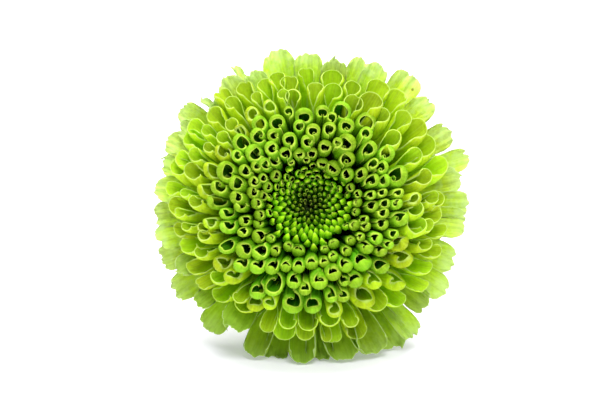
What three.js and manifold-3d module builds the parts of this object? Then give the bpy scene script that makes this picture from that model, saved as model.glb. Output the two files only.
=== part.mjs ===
// Pompon chrysanthemum: one cut bloom lying on its side with its stalk behind it.
// Units are millimetres and +Z is up.  The open face of the bloom looks towards -Y.
// The bloom rests on the tips of its lowest outer florets and on the cut end of the stalk.
import * as THREE from 'three';
import Module from 'manifold-3d';

// ---------------------------------------------------------------- driving dimensions
const TILT_DEG = 20;          // how far the bloom's axis points up from the horizontal
const HEAD = [-0.57, -29.07, 32.15]; // where the bloom's own origin stands in the part's frame
const DOME_Z = -8;            // centre of the domed receptacle on the bloom's axis
const DOME_R = 8.5;           // receptacle radius
const SEAT_R = 9.0;           // underside of the ring in which a row of florets is seated
const SEAT_TOP = 9.5;         // top of that ring
const SEAT_GAP_DEG = 0.45;    // half of the free angle left between two rings
const STALK_R = 2.0;          // stalk radius
const STALK_END = -89.0;      // cut end of the stalk along the bloom's axis
const STALK_BOW = 1.6;        // sag of the stalk from a straight line
const FLOOR_TRIM = 0;         // level of the surface on which the lowest tips lie flat

// Height of the floret tips, and the direction that they point in, against their distance
// from the bloom's axis.  Angles are measured from the axis, in degrees.
const PROFILE = [[0, 5], [4.5, 7.5], [8.9, 13], [12.3, 18], [16.8, 21], [21.2, 20],
  [25.7, 16.5], [30.2, 10], [33.5, 4], [35.3, 0], [37.1, -3]];
const TIP_DIR = [[0, -10], [4.5, -12], [8.9, -8], [12.3, -2], [16.8, 4], [21.2, 16],
  [25.7, 35], [30.2, 60], [33.5, 82], [35.8, 98], [37.1, 106]];

// Rows of florets from the centre outwards: kind, the band of the dome on which the row
// sits (two angles from the axis), and the florets: azimuth, inner and outer radius of the
// mouth, width, and a letter pair for the side it rolls to and its form.
const ROWS = [
  ['a', 4.0, 11.2,
    '7.6,1.43,2.46,0.86,Na 20,0.07,0.7,0.72,Na 40.1,1.01,2,0.82,Na 60.1,1.65,2.71,0.88,Na 72.5,0.47,1.39,0.77,Na 92.6,1.27,2.28,0.85,Na 125,0.82,1.78,0.8,Na 145.1,1.5,2.54,0.87,Na 157.5,0.13,1.01,0.74,Na 177.6,1.1,2.1,0.83,Na 197.6,1.72,2.78,0.89,Na 210,0.6,1.54,0.78,Na 230.1,1.35,2.37,0.85,Na 262.6,0.92,1.89,0.81,Na 282.6,1.58,2.63,0.87,Na 295,0.32,1.23,0.76,Na 315.1,1.19,2.19,0.84,Na 335.1,1.79,2.86,0.89,Na 347.5,0.71,1.66,0.79,Na'],
  ['a', 11.2, 15.9,
    '15.3,2.79,3.97,0.98,Na 27.7,1.99,3.09,0.91,Na 47.7,2.49,3.64,0.96,Na 67.8,2.96,4.15,1,Na 80.2,2.19,3.3,0.93,Na 100.2,2.67,3.84,0.97,Na 112.6,1.86,2.94,0.9,Na 132.7,2.37,3.51,0.95,Na 152.8,2.84,4.03,0.99,Na 165.2,2.06,3.16,0.92,Na 185.2,2.55,3.71,0.96,Na 217.7,2.25,3.37,0.93,Na 237.8,2.73,3.9,0.98,Na 250.2,1.93,3.01,0.9,Na 270.2,2.43,3.57,0.95,Na 290.3,2.9,4.09,0.99,Na 302.7,2.12,3.23,0.92,Na 322.7,2.61,3.77,0.97,Na 355.2,2.31,3.44,0.94,Na'],
  ['a', 15.9, 19.6,
    '2.9,3.5,4.76,1.05,Na 22.9,3.92,5.23,1.09,Na 35.3,3.23,4.46,1.02,Na 55.4,3.66,4.94,1.06,Na 87.8,3.4,4.64,1.04,Na 107.9,3.82,5.11,1.08,Na 120.3,3.12,4.34,1.01,Na 140.4,3.56,4.82,1.05,Na 160.4,3.97,5.28,1.09,Na 172.8,3.29,4.52,1.03,Na 192.9,3.71,4.99,1.07,Na 205.3,3.01,4.22,1,Na 225.4,3.45,4.7,1.04,Na 245.4,3.87,5.17,1.08,Na 257.8,3.18,4.4,1.02,Na 277.9,3.61,4.88,1.06,Na 297.9,4.03,5.34,1.09,Na 310.3,3.34,4.58,1.03,Na 330.4,3.77,5.05,1.07,Na 342.8,3.07,4.28,1.01,Na'],
  ['b', 19.6, 26.2,
    '10.5,4.58,5.96,1.15,Nb 30.6,4.98,6.39,1.18,Nb 43,4.33,5.68,1.12,Nb 63.1,4.73,6.12,1.16,Nb 75.5,4.08,5.4,1.1,Nb 83.1,5.12,6.56,1.19,Nb 95.5,4.48,5.84,1.14,Nb 115.6,4.88,6.29,1.17,Nb 128,4.23,5.57,1.11,Nb 135.6,5.27,6.72,1.21,Nb 148,4.63,6.01,1.15,Nb 168.1,5.03,6.45,1.19,Nb 180.5,4.38,5.73,1.13,Nb 200.6,4.78,6.18,1.16,Nb 213,4.13,5.45,1.1,Nb 220.6,5.17,6.61,1.2,Nb 233,4.53,5.9,1.14,Nb 253.1,4.93,6.34,1.18,Nb 265.5,4.28,5.62,1.12,Nb 273.1,5.32,6.77,1.21,Nb 285.5,4.68,6.07,1.15,Nb 305.6,5.07,6.5,1.19,Nb 318,4.43,5.79,1.13,Nb 338.1,4.83,6.23,1.17,Nb 350.5,4.18,5.51,1.11,Nb 358.1,5.22,6.67,1.2,Nb'],
  ['b', 26.2, 31.7,
    '5.8,6.23,7.79,1.3,Nb 18.2,5.61,7.1,1.24,Nb 25.9,6.62,8.21,1.33,Nb 38.3,6,7.52,1.27,Nb 50.7,5.37,6.83,1.22,Nb 58.3,6.38,7.95,1.31,Nb 70.7,5.75,7.26,1.25,Nb 90.8,6.14,7.68,1.29,Nb 103.2,5.51,6.99,1.23,Nb 110.8,6.52,8.11,1.32,Nb 123.2,5.9,7.42,1.26,Nb 143.3,6.28,7.84,1.3,Nb 155.7,5.66,7.15,1.24,Nb 175.8,6.04,7.58,1.28,Nb 188.2,5.42,6.88,1.22,Nb 195.8,6.43,8,1.31,Nb 208.2,5.8,7.31,1.26,Nb 228.3,6.19,7.74,1.29,Nb 240.7,5.56,7.04,1.23,Nb 248.3,6.57,8.16,1.33,Nb 260.7,5.95,7.47,1.27,Nb 280.8,6.33,7.9,1.3,Nb 293.2,5.71,7.2,1.25,Nb 313.3,6.09,7.63,1.28,Nb 325.7,5.46,6.94,1.23,Nb 333.3,6.47,8.05,1.32,Nb 345.7,5.85,7.36,1.26,Nb'],
  ['b', 31.7, 36.5,
    '1.1,7.86,9.59,1.44,Nb 13.5,7.24,8.9,1.39,Nb 33.5,7.62,9.32,1.42,Nb 45.9,7,8.64,1.36,Nb 66,7.38,9.06,1.4,Nb 78.4,6.76,8.37,1.34,Nb 86,7.76,9.48,1.43,Nb 98.4,7.14,8.79,1.38,Nb 118.5,7.52,9.22,1.41,Nb 130.9,6.9,8.53,1.36,Nb 151,7.28,8.95,1.39,Nb 163.4,6.66,8.27,1.33,Nb 171,7.67,9.38,1.43,Nb 183.4,7.05,8.69,1.37,Nb 191.1,8.05,9.8,1.46,Nb 203.5,7.43,9.11,1.4,Nb 215.9,6.81,8.42,1.35,Nb 223.5,7.81,9.53,1.44,Nb 235.9,7.19,8.85,1.38,Nb 268.4,6.95,8.58,1.36,Nb 276.1,7.95,9.69,1.45,Nb 288.5,7.33,9.01,1.39,Nb 300.9,6.71,8.32,1.34,Nb 320.9,7.09,8.74,1.37,Nb 328.6,8.09,9.85,1.46,Nb 341,7.47,9.16,1.41,Nb 353.4,6.86,8.48,1.35,Nb'],
  ['c', 36.5, 42.7,
    '2,9.61,11.63,1.57,Nb 14,8.94,12.07,1.68,Nh 24,8.94,10.96,1.79,Nh 37,9.17,12.3,2.68,Nh 57,8.94,11.63,2.68,Nb 72,8.94,11.18,2.01,Nb 86,10.06,12.97,2.24,Nh 93,8.94,11.18,1.57,Nh 101.5,9.39,12.97,2.01,Nb 112,8.94,11.18,1.45,Nh 141,8.94,11.18,2.01,Nb 149.5,9.39,12.97,1.9,Rq 157,8.94,11.18,1.79,Nb 167.5,9.17,11.63,1.79,Nb 179.5,9.84,12.75,2.01,Nb 191.5,9.61,12.3,1.9,Nb 201,9.39,12.97,1.79,Nb 221.5,9.61,12.07,1.57,Nb 242,8.94,11.18,1.79,Nb 257,8.94,11.63,2.24,Nb 289,8.94,11.18,1.57,Nb 303,8.94,11.18,1.79,Nb 335,9.61,12.07,1.9,Nb 351.5,9.39,11.4,1.45,Nb'],
  ['c', 42.7, 48.2,
    '9,11.63,14.98,1.9,Rq 29,11.18,14.76,2.46,Nh 49,11.4,14.98,3.13,Rq 76.5,12.3,14.98,2.57,Nb 92.5,12.3,15.65,2.57,Rq 115.5,10.96,14.09,2.46,Lq 128,9.39,14.09,2.68,No 136,11.63,14.76,2.35,Rh 144.5,12.52,15.65,2.01,Rh 157,11.18,14.53,2.24,Rq 168,11.63,14.09,2.57,Rq 212,10.51,14.53,2.91,Lq 233,9.84,13.64,2.24,Nq 250,10.96,15.43,2.35,Lq 261,11.18,14.98,2.68,Nh 273,10.29,14.09,2.68,Nb 284.5,11.18,14.09,2.01,Nb 296,10.29,13.42,1.79,Nb 309,10.96,14.09,2.12,Nh 318,10.51,12.97,1.79,Nb 329,11.18,14.31,1.79,Nq 338,11.85,14.31,2.01,Rq 346,11.18,13.64,1.9,Nq 356.5,11.63,15.2,2.46,Rq'],
  ['c', 48.2, 53.3,
    '1,15.2,17.89,2.01,Rq 9,15.2,17.44,1.79,Nq 20,12.75,16.55,2.68,Rq 33,14.76,18.11,2.24,Ro 56,13.86,17.89,3.8,Rh 66,12.3,16.32,2.01,Lq 86,15.2,18.11,2.91,Nq 107,12.75,16.77,2.91,Lq 124.5,13.86,16.55,2.91,Rq 138,15.65,18.56,3.8,Rq 151.5,13.42,17.44,2.35,Rq 163,15.2,18.34,3.13,Nq 175.5,14.09,17.44,2.79,Rq 183.5,12.52,16.32,2.35,Lq 194,12.52,15.88,2.35,Nq 203.5,13.42,16.77,2.12,Nq 225,12.52,16.77,3.35,Rq 240,12.97,17.44,2.91,Nh 289,13.86,17.44,3.02,Nb 300.5,12.75,16.99,2.91,Nq 322,13.64,16.99,2.68,Rq 333,14.31,17.89,2.57,Rq 343.5,13.86,17.89,2.46,Rq 353.5,14.76,17.66,2.12,Lq'],
  ['c', 53.3, 58.1,
    '7,17.89,21.02,2.01,Rq 17,15.65,18.78,2.68,Lq 26.5,17.66,19.45,2.68,Rq 43,16.1,19.9,3.13,Rh 65.5,18.34,21.02,3.13,Rh 75,15.65,19.01,2.68,Rq 98,16.1,19.01,2.46,Rq 117.5,16.1,18.78,2.57,Rq 128,17.89,20.57,3.24,Rq 147,17.89,20.35,2.35,Rq 187.5,15.65,19.68,2.46,Rq 197,17.22,20.12,3.13,Rq 214.5,15.88,19.23,3.35,Nb 231.5,15.65,19.23,3.35,Rq 258.5,14.98,18.56,2.91,Lq 267,16.99,19.68,2.46,Rh 277,15.43,18.56,3.13,Lb 294.5,16.99,19.45,2.01,Nq 301,17.89,21.02,3.35,Rq 310.5,15.43,19.01,4.02,Nh 325.5,16.99,19.9,2.57,Rq 333,18.34,20.57,1.9,Nq 341,17.44,20.79,2.01,Lq 358.5,17.89,20.35,2.24,Lq'],
  ['c', 58.1, 62.8,
    '15,19.45,22.58,4.47,Rq 31,19.68,22.14,3.35,Rq 49.5,19.01,21.47,2.68,Rq 55.5,20.57,24.15,4.25,Nq 69.5,21.24,23.93,4.02,Nq 75,19.01,21.24,2.01,Nq 82,19.68,22.36,2.91,Nh 93,18.56,21.69,3.8,Nh 103,20.12,22.36,2.01,Lq 110.5,18.34,21.24,3.35,Rq 123,20.12,22.47,3.35,Nh 139.5,19.23,22.02,3.8,Nq 160,17.89,21.69,4.25,Nh 171.5,18.34,21.69,3.13,Rq 180.5,17.89,22.36,3.13,Rq 210,17.44,21.91,3.58,No 224,18.11,21.47,3.35,Rq 241,19.68,23.7,3.58,Nq 248.5,16.55,21.69,4.47,No 260,20.35,24.15,4.7,Nq 273.5,19.68,23.7,3.8,Nq 283,17.89,21.91,2.68,Rq 289.5,19.68,22.58,2.68,Nq 318.5,19.68,22.58,3.35,Nh 348.5,18.78,21.91,3.24,Rq'],
  ['d', 62.8, 67.6,
    '1.5,21.69,24.82,2.91,Nq 34.5,21.24,24.82,4.02,Ns 113.5,21.69,24.71,2.91,Nq 124,22.58,24.93,3.35,Rq 133,21.47,23.7,2.46,Nq 144.5,22.58,25.15,2.91,Ns 151.5,21.02,23.7,3.58,Lq 162.5,22.14,24.48,3.8,Nq 175.5,21.91,24.48,4.02,Nq 191.5,20.57,23.7,2.68,Nq 196.5,21.91,24.93,2.68,Ns 201.5,21.91,25.27,3.13,Ls 215,21.91,25.27,4.02,Nh 225.5,21.69,24.82,4.02,Rh 248.5,22.14,24.82,3.13,Rq 284.5,22.81,25.49,3.58,Nq 308.5,21.69,23.81,3.58,Nq 335,21.24,23.48,4.02,Nq 352.5,21.91,25.15,3.58,Ls'],
  ['d', 67.6, 72.3,
    '7,21.24,27.28,4.25,Ns 20.5,22.36,27.06,4.25,Ns 47,21.91,26.38,3.8,Rs 65,23.25,26.38,4.47,Rs 76,22.81,27.73,4.47,Ns 85.5,22.36,27.73,3.8,Ns 97.5,22.14,26.38,3.58,Ls 104,23.25,26.5,2.68,Rs 116.5,24.15,27.73,2.68,Ns 135.5,23.03,25.71,3.13,Ns 153.5,23.25,26.16,2.68,Ns 184,22.36,25.71,3.35,Rs 208,23.25,27.5,3.35,Ns 234.5,23.25,27.73,3.35,Ns 244,23.48,26.5,4.47,Nh 297.5,22.36,26.27,5.37,Nh 316,24.6,27.73,4.47,Nh 327.5,22.36,26.16,4.47,Rh 341,21.69,25.71,4.47,Ns'],
  ['d', 72.3, 76.8,
    '39.5,25.04,29.52,4.02,Ne 54,23.25,28.06,5.81,Ns 67.5,25.71,29.29,4.02,Ns 99.5,25.04,29.52,3.8,Ne 130,24.15,29.29,3.58,Ns 147,25.04,28.62,2.91,Ns 160,24.15,28.51,3.35,Ns 170.5,23.25,27.84,4.47,Ns 178.5,24.15,28.29,2.68,Ns 187.5,25.04,29.52,2.91,Ns 193,25.04,28.4,2.46,Ns 222,24.15,28.06,4.02,Ns 260.5,23.7,28.4,4.02,Ns 270,23.25,28.06,4.47,Ns 280,23.7,28.17,4.92,Ns 289,23.7,29.52,3.58,Ns 336,24.15,28.4,3.35,Ns 344,24.15,28.06,3.8,Rs 358,25.04,28.4,3.58,Ns'],
  ['d', 76.8, 81.3,
    '20,25.04,30.19,5.37,Ne 29,25.04,30.41,5.37,Ne 79,25.94,31.08,4.92,Ne 92.5,25.94,31.08,3.35,Ne 105.5,25.49,30.63,3.8,Ne 111,25.04,29.74,3.58,Ne 121.5,25.49,30.74,4.02,Ne 140.5,24.6,29.74,4.25,Ne 155.5,25.94,31.08,4.47,Ne 195,25.94,31.08,3.8,Ne 204.5,25.04,30.19,4.25,Ne 229,25.04,30.86,4.47,Ne 239,24.15,29.52,4.7,Ne 252,25.04,30.63,3.35,Ne 269.5,25.04,30.41,4.02,Ne 276.5,27.28,30.97,2.46,Ns 302,25.49,29.85,5.37,Ns 350.5,25.04,29.74,3.8,Ne 357,24.6,29.74,3.8,Ne'],
  ['d', 81.3, 85.7,
    '10,25.49,31.3,4.92,Ne 47,26.83,31.97,4.92,Ne 57.5,26.83,31.75,4.92,Ne 131.5,25.94,31.97,4.02,Ne 148.5,25.94,31.75,4.02,Ne 163.5,25.94,31.08,3.8,Ne 171,26.38,31.3,5.37,Ne 179,26.38,31.75,4.02,Ne 186.5,26.38,31.53,4.92,Ne 211.5,25.94,31.53,3.8,Ne 219,26.38,31.53,3.35,Ne 260,25.49,31.53,4.92,Ne 279,25.04,31.75,4.02,Ne 289,27.28,33.09,4.92,Ne 309.5,25.94,31.75,4.47,Ne 322,27.28,33.09,3.35,Ne 328.5,25.94,31.75,3.8,Ne 336.5,26.38,31.97,3.35,Ne 345.5,25.94,31.53,3.35,Ne'],
];
const OUTER = '1,36.22,6.71 11,33.99,5.37 17.5,36.45,5.37 28,36,6.71 39.5,36,5.81 51.5,37.12,7.6 64,35.11,5.81 71.5,36,5.37 80,34.21,5.37 90,35.11,6.04 101.5,36.22,6.71 113.5,33.99,5.37 124,34.43,6.26 132.5,32.65,4.47 142,36.45,5.81 149,35.33,4.92 155.5,35.78,5.37 163,35.78,4.92 173.5,35.22,5.81 183.5,34.99,5.37 191.5,34.66,6.26 199.5,35.78,5.37 206,34.21,4.92 213.5,36.22,6.26 221,33.76,4.47 231,36,6.26 237,33.32,5.81 248,36.22,6.04 256,34.21,5.37 266.5,34.77,5.81 276,34.21,5.37 285,35.55,6.26 295,36,6.26 303.5,36.67,5.81 310.5,36.89,5.81 320,34.66,5.37 328,36.22,6.04 339,34.88,6.48 353,35.11,6.04';

// ---------------------------------------------------------------- helpers
const rad = (d) => d * Math.PI / 180;
const dir = (d) => [Math.sin(rad(d)), Math.cos(rad(d))];   // [radial, axial]
function lookup(table, x) {
  if (x <= table[0][0]) return table[0][1];
  for (let i = 1; i < table.length; i++) {
    const [x1, y1] = table[i], [x0, y0] = table[i - 1];
    if (x <= x1) return y0 + (y1 - y0) * (x - x0) / (x1 - x0);
  }
  return table[table.length - 1][1];
}
const noise = (i, k) => {           // repeatable value in -1..1
  const s = Math.sin(i * 12.9898 + k * 78.233) * 43758.5453;
  return 2 * (s - Math.floor(s)) - 1;
};

// Bloom frame: x to the right, y up across the face, z out along the axis.
const T = rad(TILT_DEG);
const toPart = new THREE.Matrix4().makeBasis(
  new THREE.Vector3(1, 0, 0),
  new THREE.Vector3(0, Math.sin(T), Math.cos(T)),
  new THREE.Vector3(0, -Math.cos(T), Math.sin(T)),
).setPosition(...HEAD);

// Midrib of a floret in its own radial plane: a cubic from its seat on the dome to its tip.
function midrib(alpha, rTip, zTip, tipDeg) {
  const R = SEAT_R + 0.3;
  const p0 = [R * Math.sin(rad(alpha)), DOME_Z + R * Math.cos(rad(alpha))];
  const p3 = [rTip, zTip];
  const L = Math.hypot(p3[0] - p0[0], p3[1] - p0[1]);
  const d0 = dir(0.75 * alpha), d3 = dir(tipDeg);
  const p1 = [p0[0] + 0.45 * L * d0[0], p0[1] + 0.45 * L * d0[1]];
  const p2 = [p3[0] - 0.38 * L * d3[0], p3[1] - 0.38 * L * d3[1]];
  return (u) => {
    const v = 1 - u, c = [v * v * v, 3 * v * v * u, 3 * v * u * u, u * u * u];
    const e = [v * v, 2 * v * u, u * u];
    const at = (k) => c[0] * p0[k] + c[1] * p1[k] + c[2] * p2[k] + c[3] * p3[k];
    const by = (k) => e[0] * (p1[k] - p0[k]) + e[1] * (p2[k] - p1[k]) + e[2] * (p3[k] - p2[k]);
    const t = [by(0), by(1)], n = Math.hypot(...t);
    return { r: at(0), z: at(1), t: [t[0] / n, t[1] / n] };
  };
}

// Half widths of a floret at the stations along it, by kind.
const STATIONS = [0.30, 0.70, 0.93];
const SWELL = [0.24, 0.72, 1.0];
function halfSizes(kind, w) {
  if (kind === 'a' || kind === 'b') return [0.33 * w, 0.33 * w];
  if (kind === 'c') return [0.40 * w, 0.38 * w];
  if (kind === 's') return [0.42 * w, 0.24 * w];
  if (kind === 'e') return [0.42 * w, 0.13 * w];
  return [0.42 * w, 0.5];
}

class Shell {
  constructor() { this.p = []; this.f = []; }
  vertex(x, y, z) { this.p.push([x, y, z]); return this.p.length - 1; }
  tri(a, b, c) { this.f.push([a, b, c]); }
  quad(a, b, c, d) { this.tri(a, b, c); this.tri(a, c, d); }
  polar(theta, r, z) { return this.vertex(r * Math.cos(theta), r * Math.sin(theta), z); }
  geometry() {
    const pos = [];
    let vol = 0;
    for (const [a, b, c] of this.f) {
      const A = this.p[a], B = this.p[b], C = this.p[c];
      vol += (A[0] * (B[1] * C[2] - B[2] * C[1]) + A[1] * (B[2] * C[0] - B[0] * C[2])
        + A[2] * (B[0] * C[1] - B[1] * C[0])) / 6;
    }
    for (const [a, b, c] of this.f) {
      for (const i of vol < 0 ? [a, c, b] : [a, b, c]) pos.push(...this.p[i]);
    }
    const g = new THREE.BufferGeometry();
    g.setAttribute('position', new THREE.Float32BufferAttribute(pos, 3));
    return g;
  }
}

// Continues a floret from the four corners of its seat to its tip.
// Corners run: low azimuth outer, low azimuth inner, high azimuth inner, high azimuth outer.
function growFloret(s, seat, f) {
  const rib = midrib(f.alpha, f.r, f.z, f.dir);
  const [A, B] = f.half;
  const er = [Math.cos(f.theta), Math.sin(f.theta)], et = [-er[1], er[0]];
  let last = seat;
  const centre = (u, b) => {
    const m = rib(u);
    const n = [-m.t[1], m.t[0]];            // towards the bloom's axis
    return { m, n, r: m.r + n[0] * b, z: m.z + n[1] * b };
  };
  STATIONS.forEach((u, k) => {
    if (k < f.skip) return;
    const a = Math.max(f.least, A * SWELL[k]), b = Math.max(0.22, Math.min(a, B * SWELL[k]));
    const c = centre(u, b);
    const ring = [[-1, -1], [-1, 1], [1, 1], [1, -1]].map(([i, j]) => {
      const rr = c.r + c.n[0] * b * j, zz = c.z + c.n[1] * b * j;
      const side = a * i * (j > 0 ? 0.82 : 1);
      return s.vertex(er[0] * rr + et[0] * side, er[1] * rr + et[1] * side, zz);
    });
    for (let i = 0; i < 4; i++) {
      const j = (i + 1) % 4;
      s.quad(last[i], last[j], ring[j], ring[i]);
    }
    last = ring;
  });
  const c = centre(1, 0.3 * B);
  const tip = s.vertex(er[0] * c.r, er[1] * c.r, c.z);
  for (let i = 0; i < 4; i++) s.tri(last[i], last[(i + 1) % 4], tip);
}

// One row of florets on its narrow ring, a single closed body.
function floretRow(lo, hi, florets, radii = [SEAT_R, SEAT_TOP], place = null) {
  const s = new Shell();
  const list = [...florets].sort((p, q) => p.theta - q.theta);
  const n = list.length, segs = [];
  const most = 0.30;                         // widest seat, radians
  const bound = [];
  for (let i = 0; i < n; i++) {
    const a = list[i].theta, b = list[(i + 1) % n].theta + (i === n - 1 ? 2 * Math.PI : 0);
    const gap = b - a;
    if (gap > most) {                          // a plain stretch of ring between two seats
      const a1 = a + most * 0.4, b1 = b - most * 0.4, steps = Math.max(1, Math.ceil((b1 - a1) / 0.3));
      for (let k = 0; k <= steps; k++) bound.push([a1 + (b1 - a1) * k / steps, k < steps]);
    } else bound.push([(a + b) / 2, false]);
  }
  const ringAt = (th) => {
    const pts = place ? place : [
      [radii[0], lo], [radii[0], hi], [radii[1], hi], [radii[1], lo]].map(([R, al]) =>
      [R * Math.sin(rad(al)), DOME_Z + R * Math.cos(rad(al))]);
    return pts.map(([r, z]) => s.polar(th, r, z));
  };
  // each bound closes a floret's seat or a piece of the plain stretch after it
  let next = 0;
  bound.forEach((_, k) => {
    const plainBefore = bound[(k + bound.length - 1) % bound.length][1];
    segs.push(plainBefore ? { plain: true } : { floret: next++ });
  });
  const rings = bound.map(([th]) => ringAt(th));
  // ring before segment 0 is the last bound
  let prev = rings[rings.length - 1];
  segs.forEach((seg, k) => {
    const a = prev, b = rings[k];
    s.quad(a[0], a[1], b[1], b[0]);
    s.quad(a[1], a[2], b[2], b[1]);
    s.quad(a[3], a[0], b[0], b[3]);
    if (seg.plain) s.quad(a[2], a[3], b[3], b[2]);
    else {
      // seat corners, ordered to match the stations
      growFloret(s, [a[2], a[3], b[3], b[2]], list[seg.floret]);
    }
    prev = b;
  });
  return s;
}

// ---------------------------------------------------------------- materials
function material(name, hex, roughness) {
  const m = new THREE.MeshStandardMaterial({ color: hex, roughness, metalness: 0 });
  m.name = name;
  return m;
}
const MAT = {
  a: material('floret_centre', 0x4f7a0e, 0.55),
  b: material('floret_inner', 0x679a12, 0.5),
  c: material('floret_quill', 0x86bd1c, 0.45),
  d: material('floret_scoop', 0x9cca2c, 0.45),
  o: material('floret_outer', 0xb9dc62, 0.5),
  back: material('floret_back', 0xa4cc4a, 0.5),
  bract: material('bract', 0x5d8a2a, 0.6),
  stalk: material('stalk', 0x6f9636, 0.6),
};

const group = new THREE.Group();
group.name = 'pompon_chrysanthemum';
function addMesh(name, geometry, mat) {
  geometry.applyMatrix4(toPart);
  geometry.computeVertexNormals();
  const mesh = new THREE.Mesh(geometry, mat);
  mesh.name = name;
  group.add(mesh);
}

// ---------------------------------------------------------------- stalk and receptacle
{
  const s = new Shell(), N = 16;
  const st = [];
  for (const al of [28, 52, 74, 92]) st.push([DOME_R * Math.sin(rad(al)), DOME_Z + DOME_R * Math.cos(rad(al))]);
  st.push([8.3, -10.6], [7.4, -12.4], [5.6, -14.8], [3.9, -17.0], [2.9, -19.6], [2.35, -23], [2.1, -28]);
  for (const z of [-38, -50, -62, -74]) st.push([STALK_R * (1 + 0.02 * Math.sin(z)), z]);
  st.push([STALK_R * 0.98, STALK_END]);
  const sag = (z) => {
    const q = Math.max(0, (-20 - z) / (-20 - STALK_END));
    return -STALK_BOW * 4 * q * (1 - q) * 0.6;
  };
  const top = s.vertex(0, 0, DOME_Z + DOME_R);
  const rings = st.map(([r, z]) => {
    const ids = [];
    for (let i = 0; i < N; i++) {
      const a = 2 * Math.PI * i / N;
      ids.push(s.vertex(r * Math.cos(a), r * Math.sin(a) + sag(z), z));
    }
    return ids;
  });
  const end = s.vertex(0, sag(STALK_END), STALK_END);
  for (let i = 0; i < N; i++) {
    const j = (i + 1) % N;
    s.tri(top, rings[0][i], rings[0][j]);
    for (let k = 1; k < rings.length; k++) s.quad(rings[k - 1][i], rings[k][i], rings[k][j], rings[k - 1][j]);
    s.tri(end, rings[rings.length - 1][j], rings[rings.length - 1][i]);
  }
  addMesh('stem', s.geometry(), MAT.stalk);
}

// ---------------------------------------------------------------- involucre
function bractRow(name, count, place, base, tipR, tipZ, width, phase) {
  const list = [];
  for (let i = 0; i < count; i++) {
    list.push({
      theta: 2 * Math.PI * (i + phase) / count + 0.02 * noise(i, 3), r: tipR + 0.4 * noise(i, 4),
      z: tipZ + 0.25 * noise(i, 5), half: [width / 2, 0.34],
    });
  }
  const s = new Shell();
  const rings = [];
  for (let i = 0; i < count; i++) {
    const a = list[i].theta, b = list[(i + 1) % count].theta + (i === count - 1 ? 2 * Math.PI : 0);
    rings.push(place.map(([r, z]) => s.polar((a + b) / 2, r, z)));
  }
  for (let i = 0; i < count; i++) {
    const a = rings[(i + count - 1) % count], b = rings[i], f = list[i];
    s.quad(a[0], a[1], b[1], b[0]);
    s.quad(a[1], a[2], b[2], b[1]);
    s.quad(a[3], a[0], b[0], b[3]);
    let last = [a[2], a[3], b[3], b[2]];
    const er = [Math.cos(f.theta), Math.sin(f.theta)], et = [-er[1], er[0]];
    const along = (u) => {                     // outwards under the florets, cupped upwards
      const r = base[0] + (f.r - base[0]) * u;
      const z = base[1] + (f.z - base[1]) * u + 1.0 * u * u - 1.0 * u;
      return [r, z];
    };
    [[0.35, 0.92], [0.7, 1.0]].forEach(([u, k]) => {
      const [r, z] = along(u), h = f.half[1], w = f.half[0] * k;
      const ring = [[-1, -1], [-1, 1], [1, 1], [1, -1]].map(([p, q]) =>
        s.vertex(er[0] * r + et[0] * w * p, er[1] * r + et[1] * w * p, z + h * q));
      for (let c = 0; c < 4; c++) s.quad(last[c], last[(c + 1) % 4], ring[(c + 1) % 4], ring[c]);
      last = ring;
    });
    const [r, z] = along(1);
    const tip = s.vertex(er[0] * r, er[1] * r, z);
    for (let c = 0; c < 4; c++) s.tri(last[c], last[(c + 1) % 4], tip);
  }
  addMesh(name, s.geometry(), MAT.bract);
}
bractRow('bracts_upper', 14, [[8.65, -11.2], [8.5, -12.1], [9.4, -12.5], [9.6, -11.4]],
  [9.5, -12.0], 16.0, -12.6, 3.3, 0);
bractRow('bracts_lower', 12, [[7.5, -13.1], [6.9, -14.0], [7.6, -14.8], [8.4, -13.9]],
  [8.0, -14.4], 13.2, -14.9, 3.1, 0.5);

// ---------------------------------------------------------------- rows of florets
const parseRow = (text) => text.split(' ').map((t) => {
  const [az, rin, rout, w, code] = t.split(',');
  return { az: +az, rin: +rin, rout: +rout, w: +w, side: code[0], form: code[1] };
});
const rowList = ROWS.map(([kind, lo, hi, text]) => {
  const alpha = (lo + hi) / 2;
  return parseRow(text).map((q) => {
    const k = kind === 'd' ? (q.form === 'e' ? 'e' : (q.form === 's' ? 's' : 'c')) : kind;
    return {
      theta: rad(q.az), r: q.rout, z: lookup(PROFILE, q.rout), dir: lookup(TIP_DIR, q.rout),
      alpha, half: halfSizes(k, q.w), least: kind === 'a' ? 0.14 : 0.24, skip: kind === 'a' ? 2 : (kind === 'b' ? 1 : 0),
    };
  });
});
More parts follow.
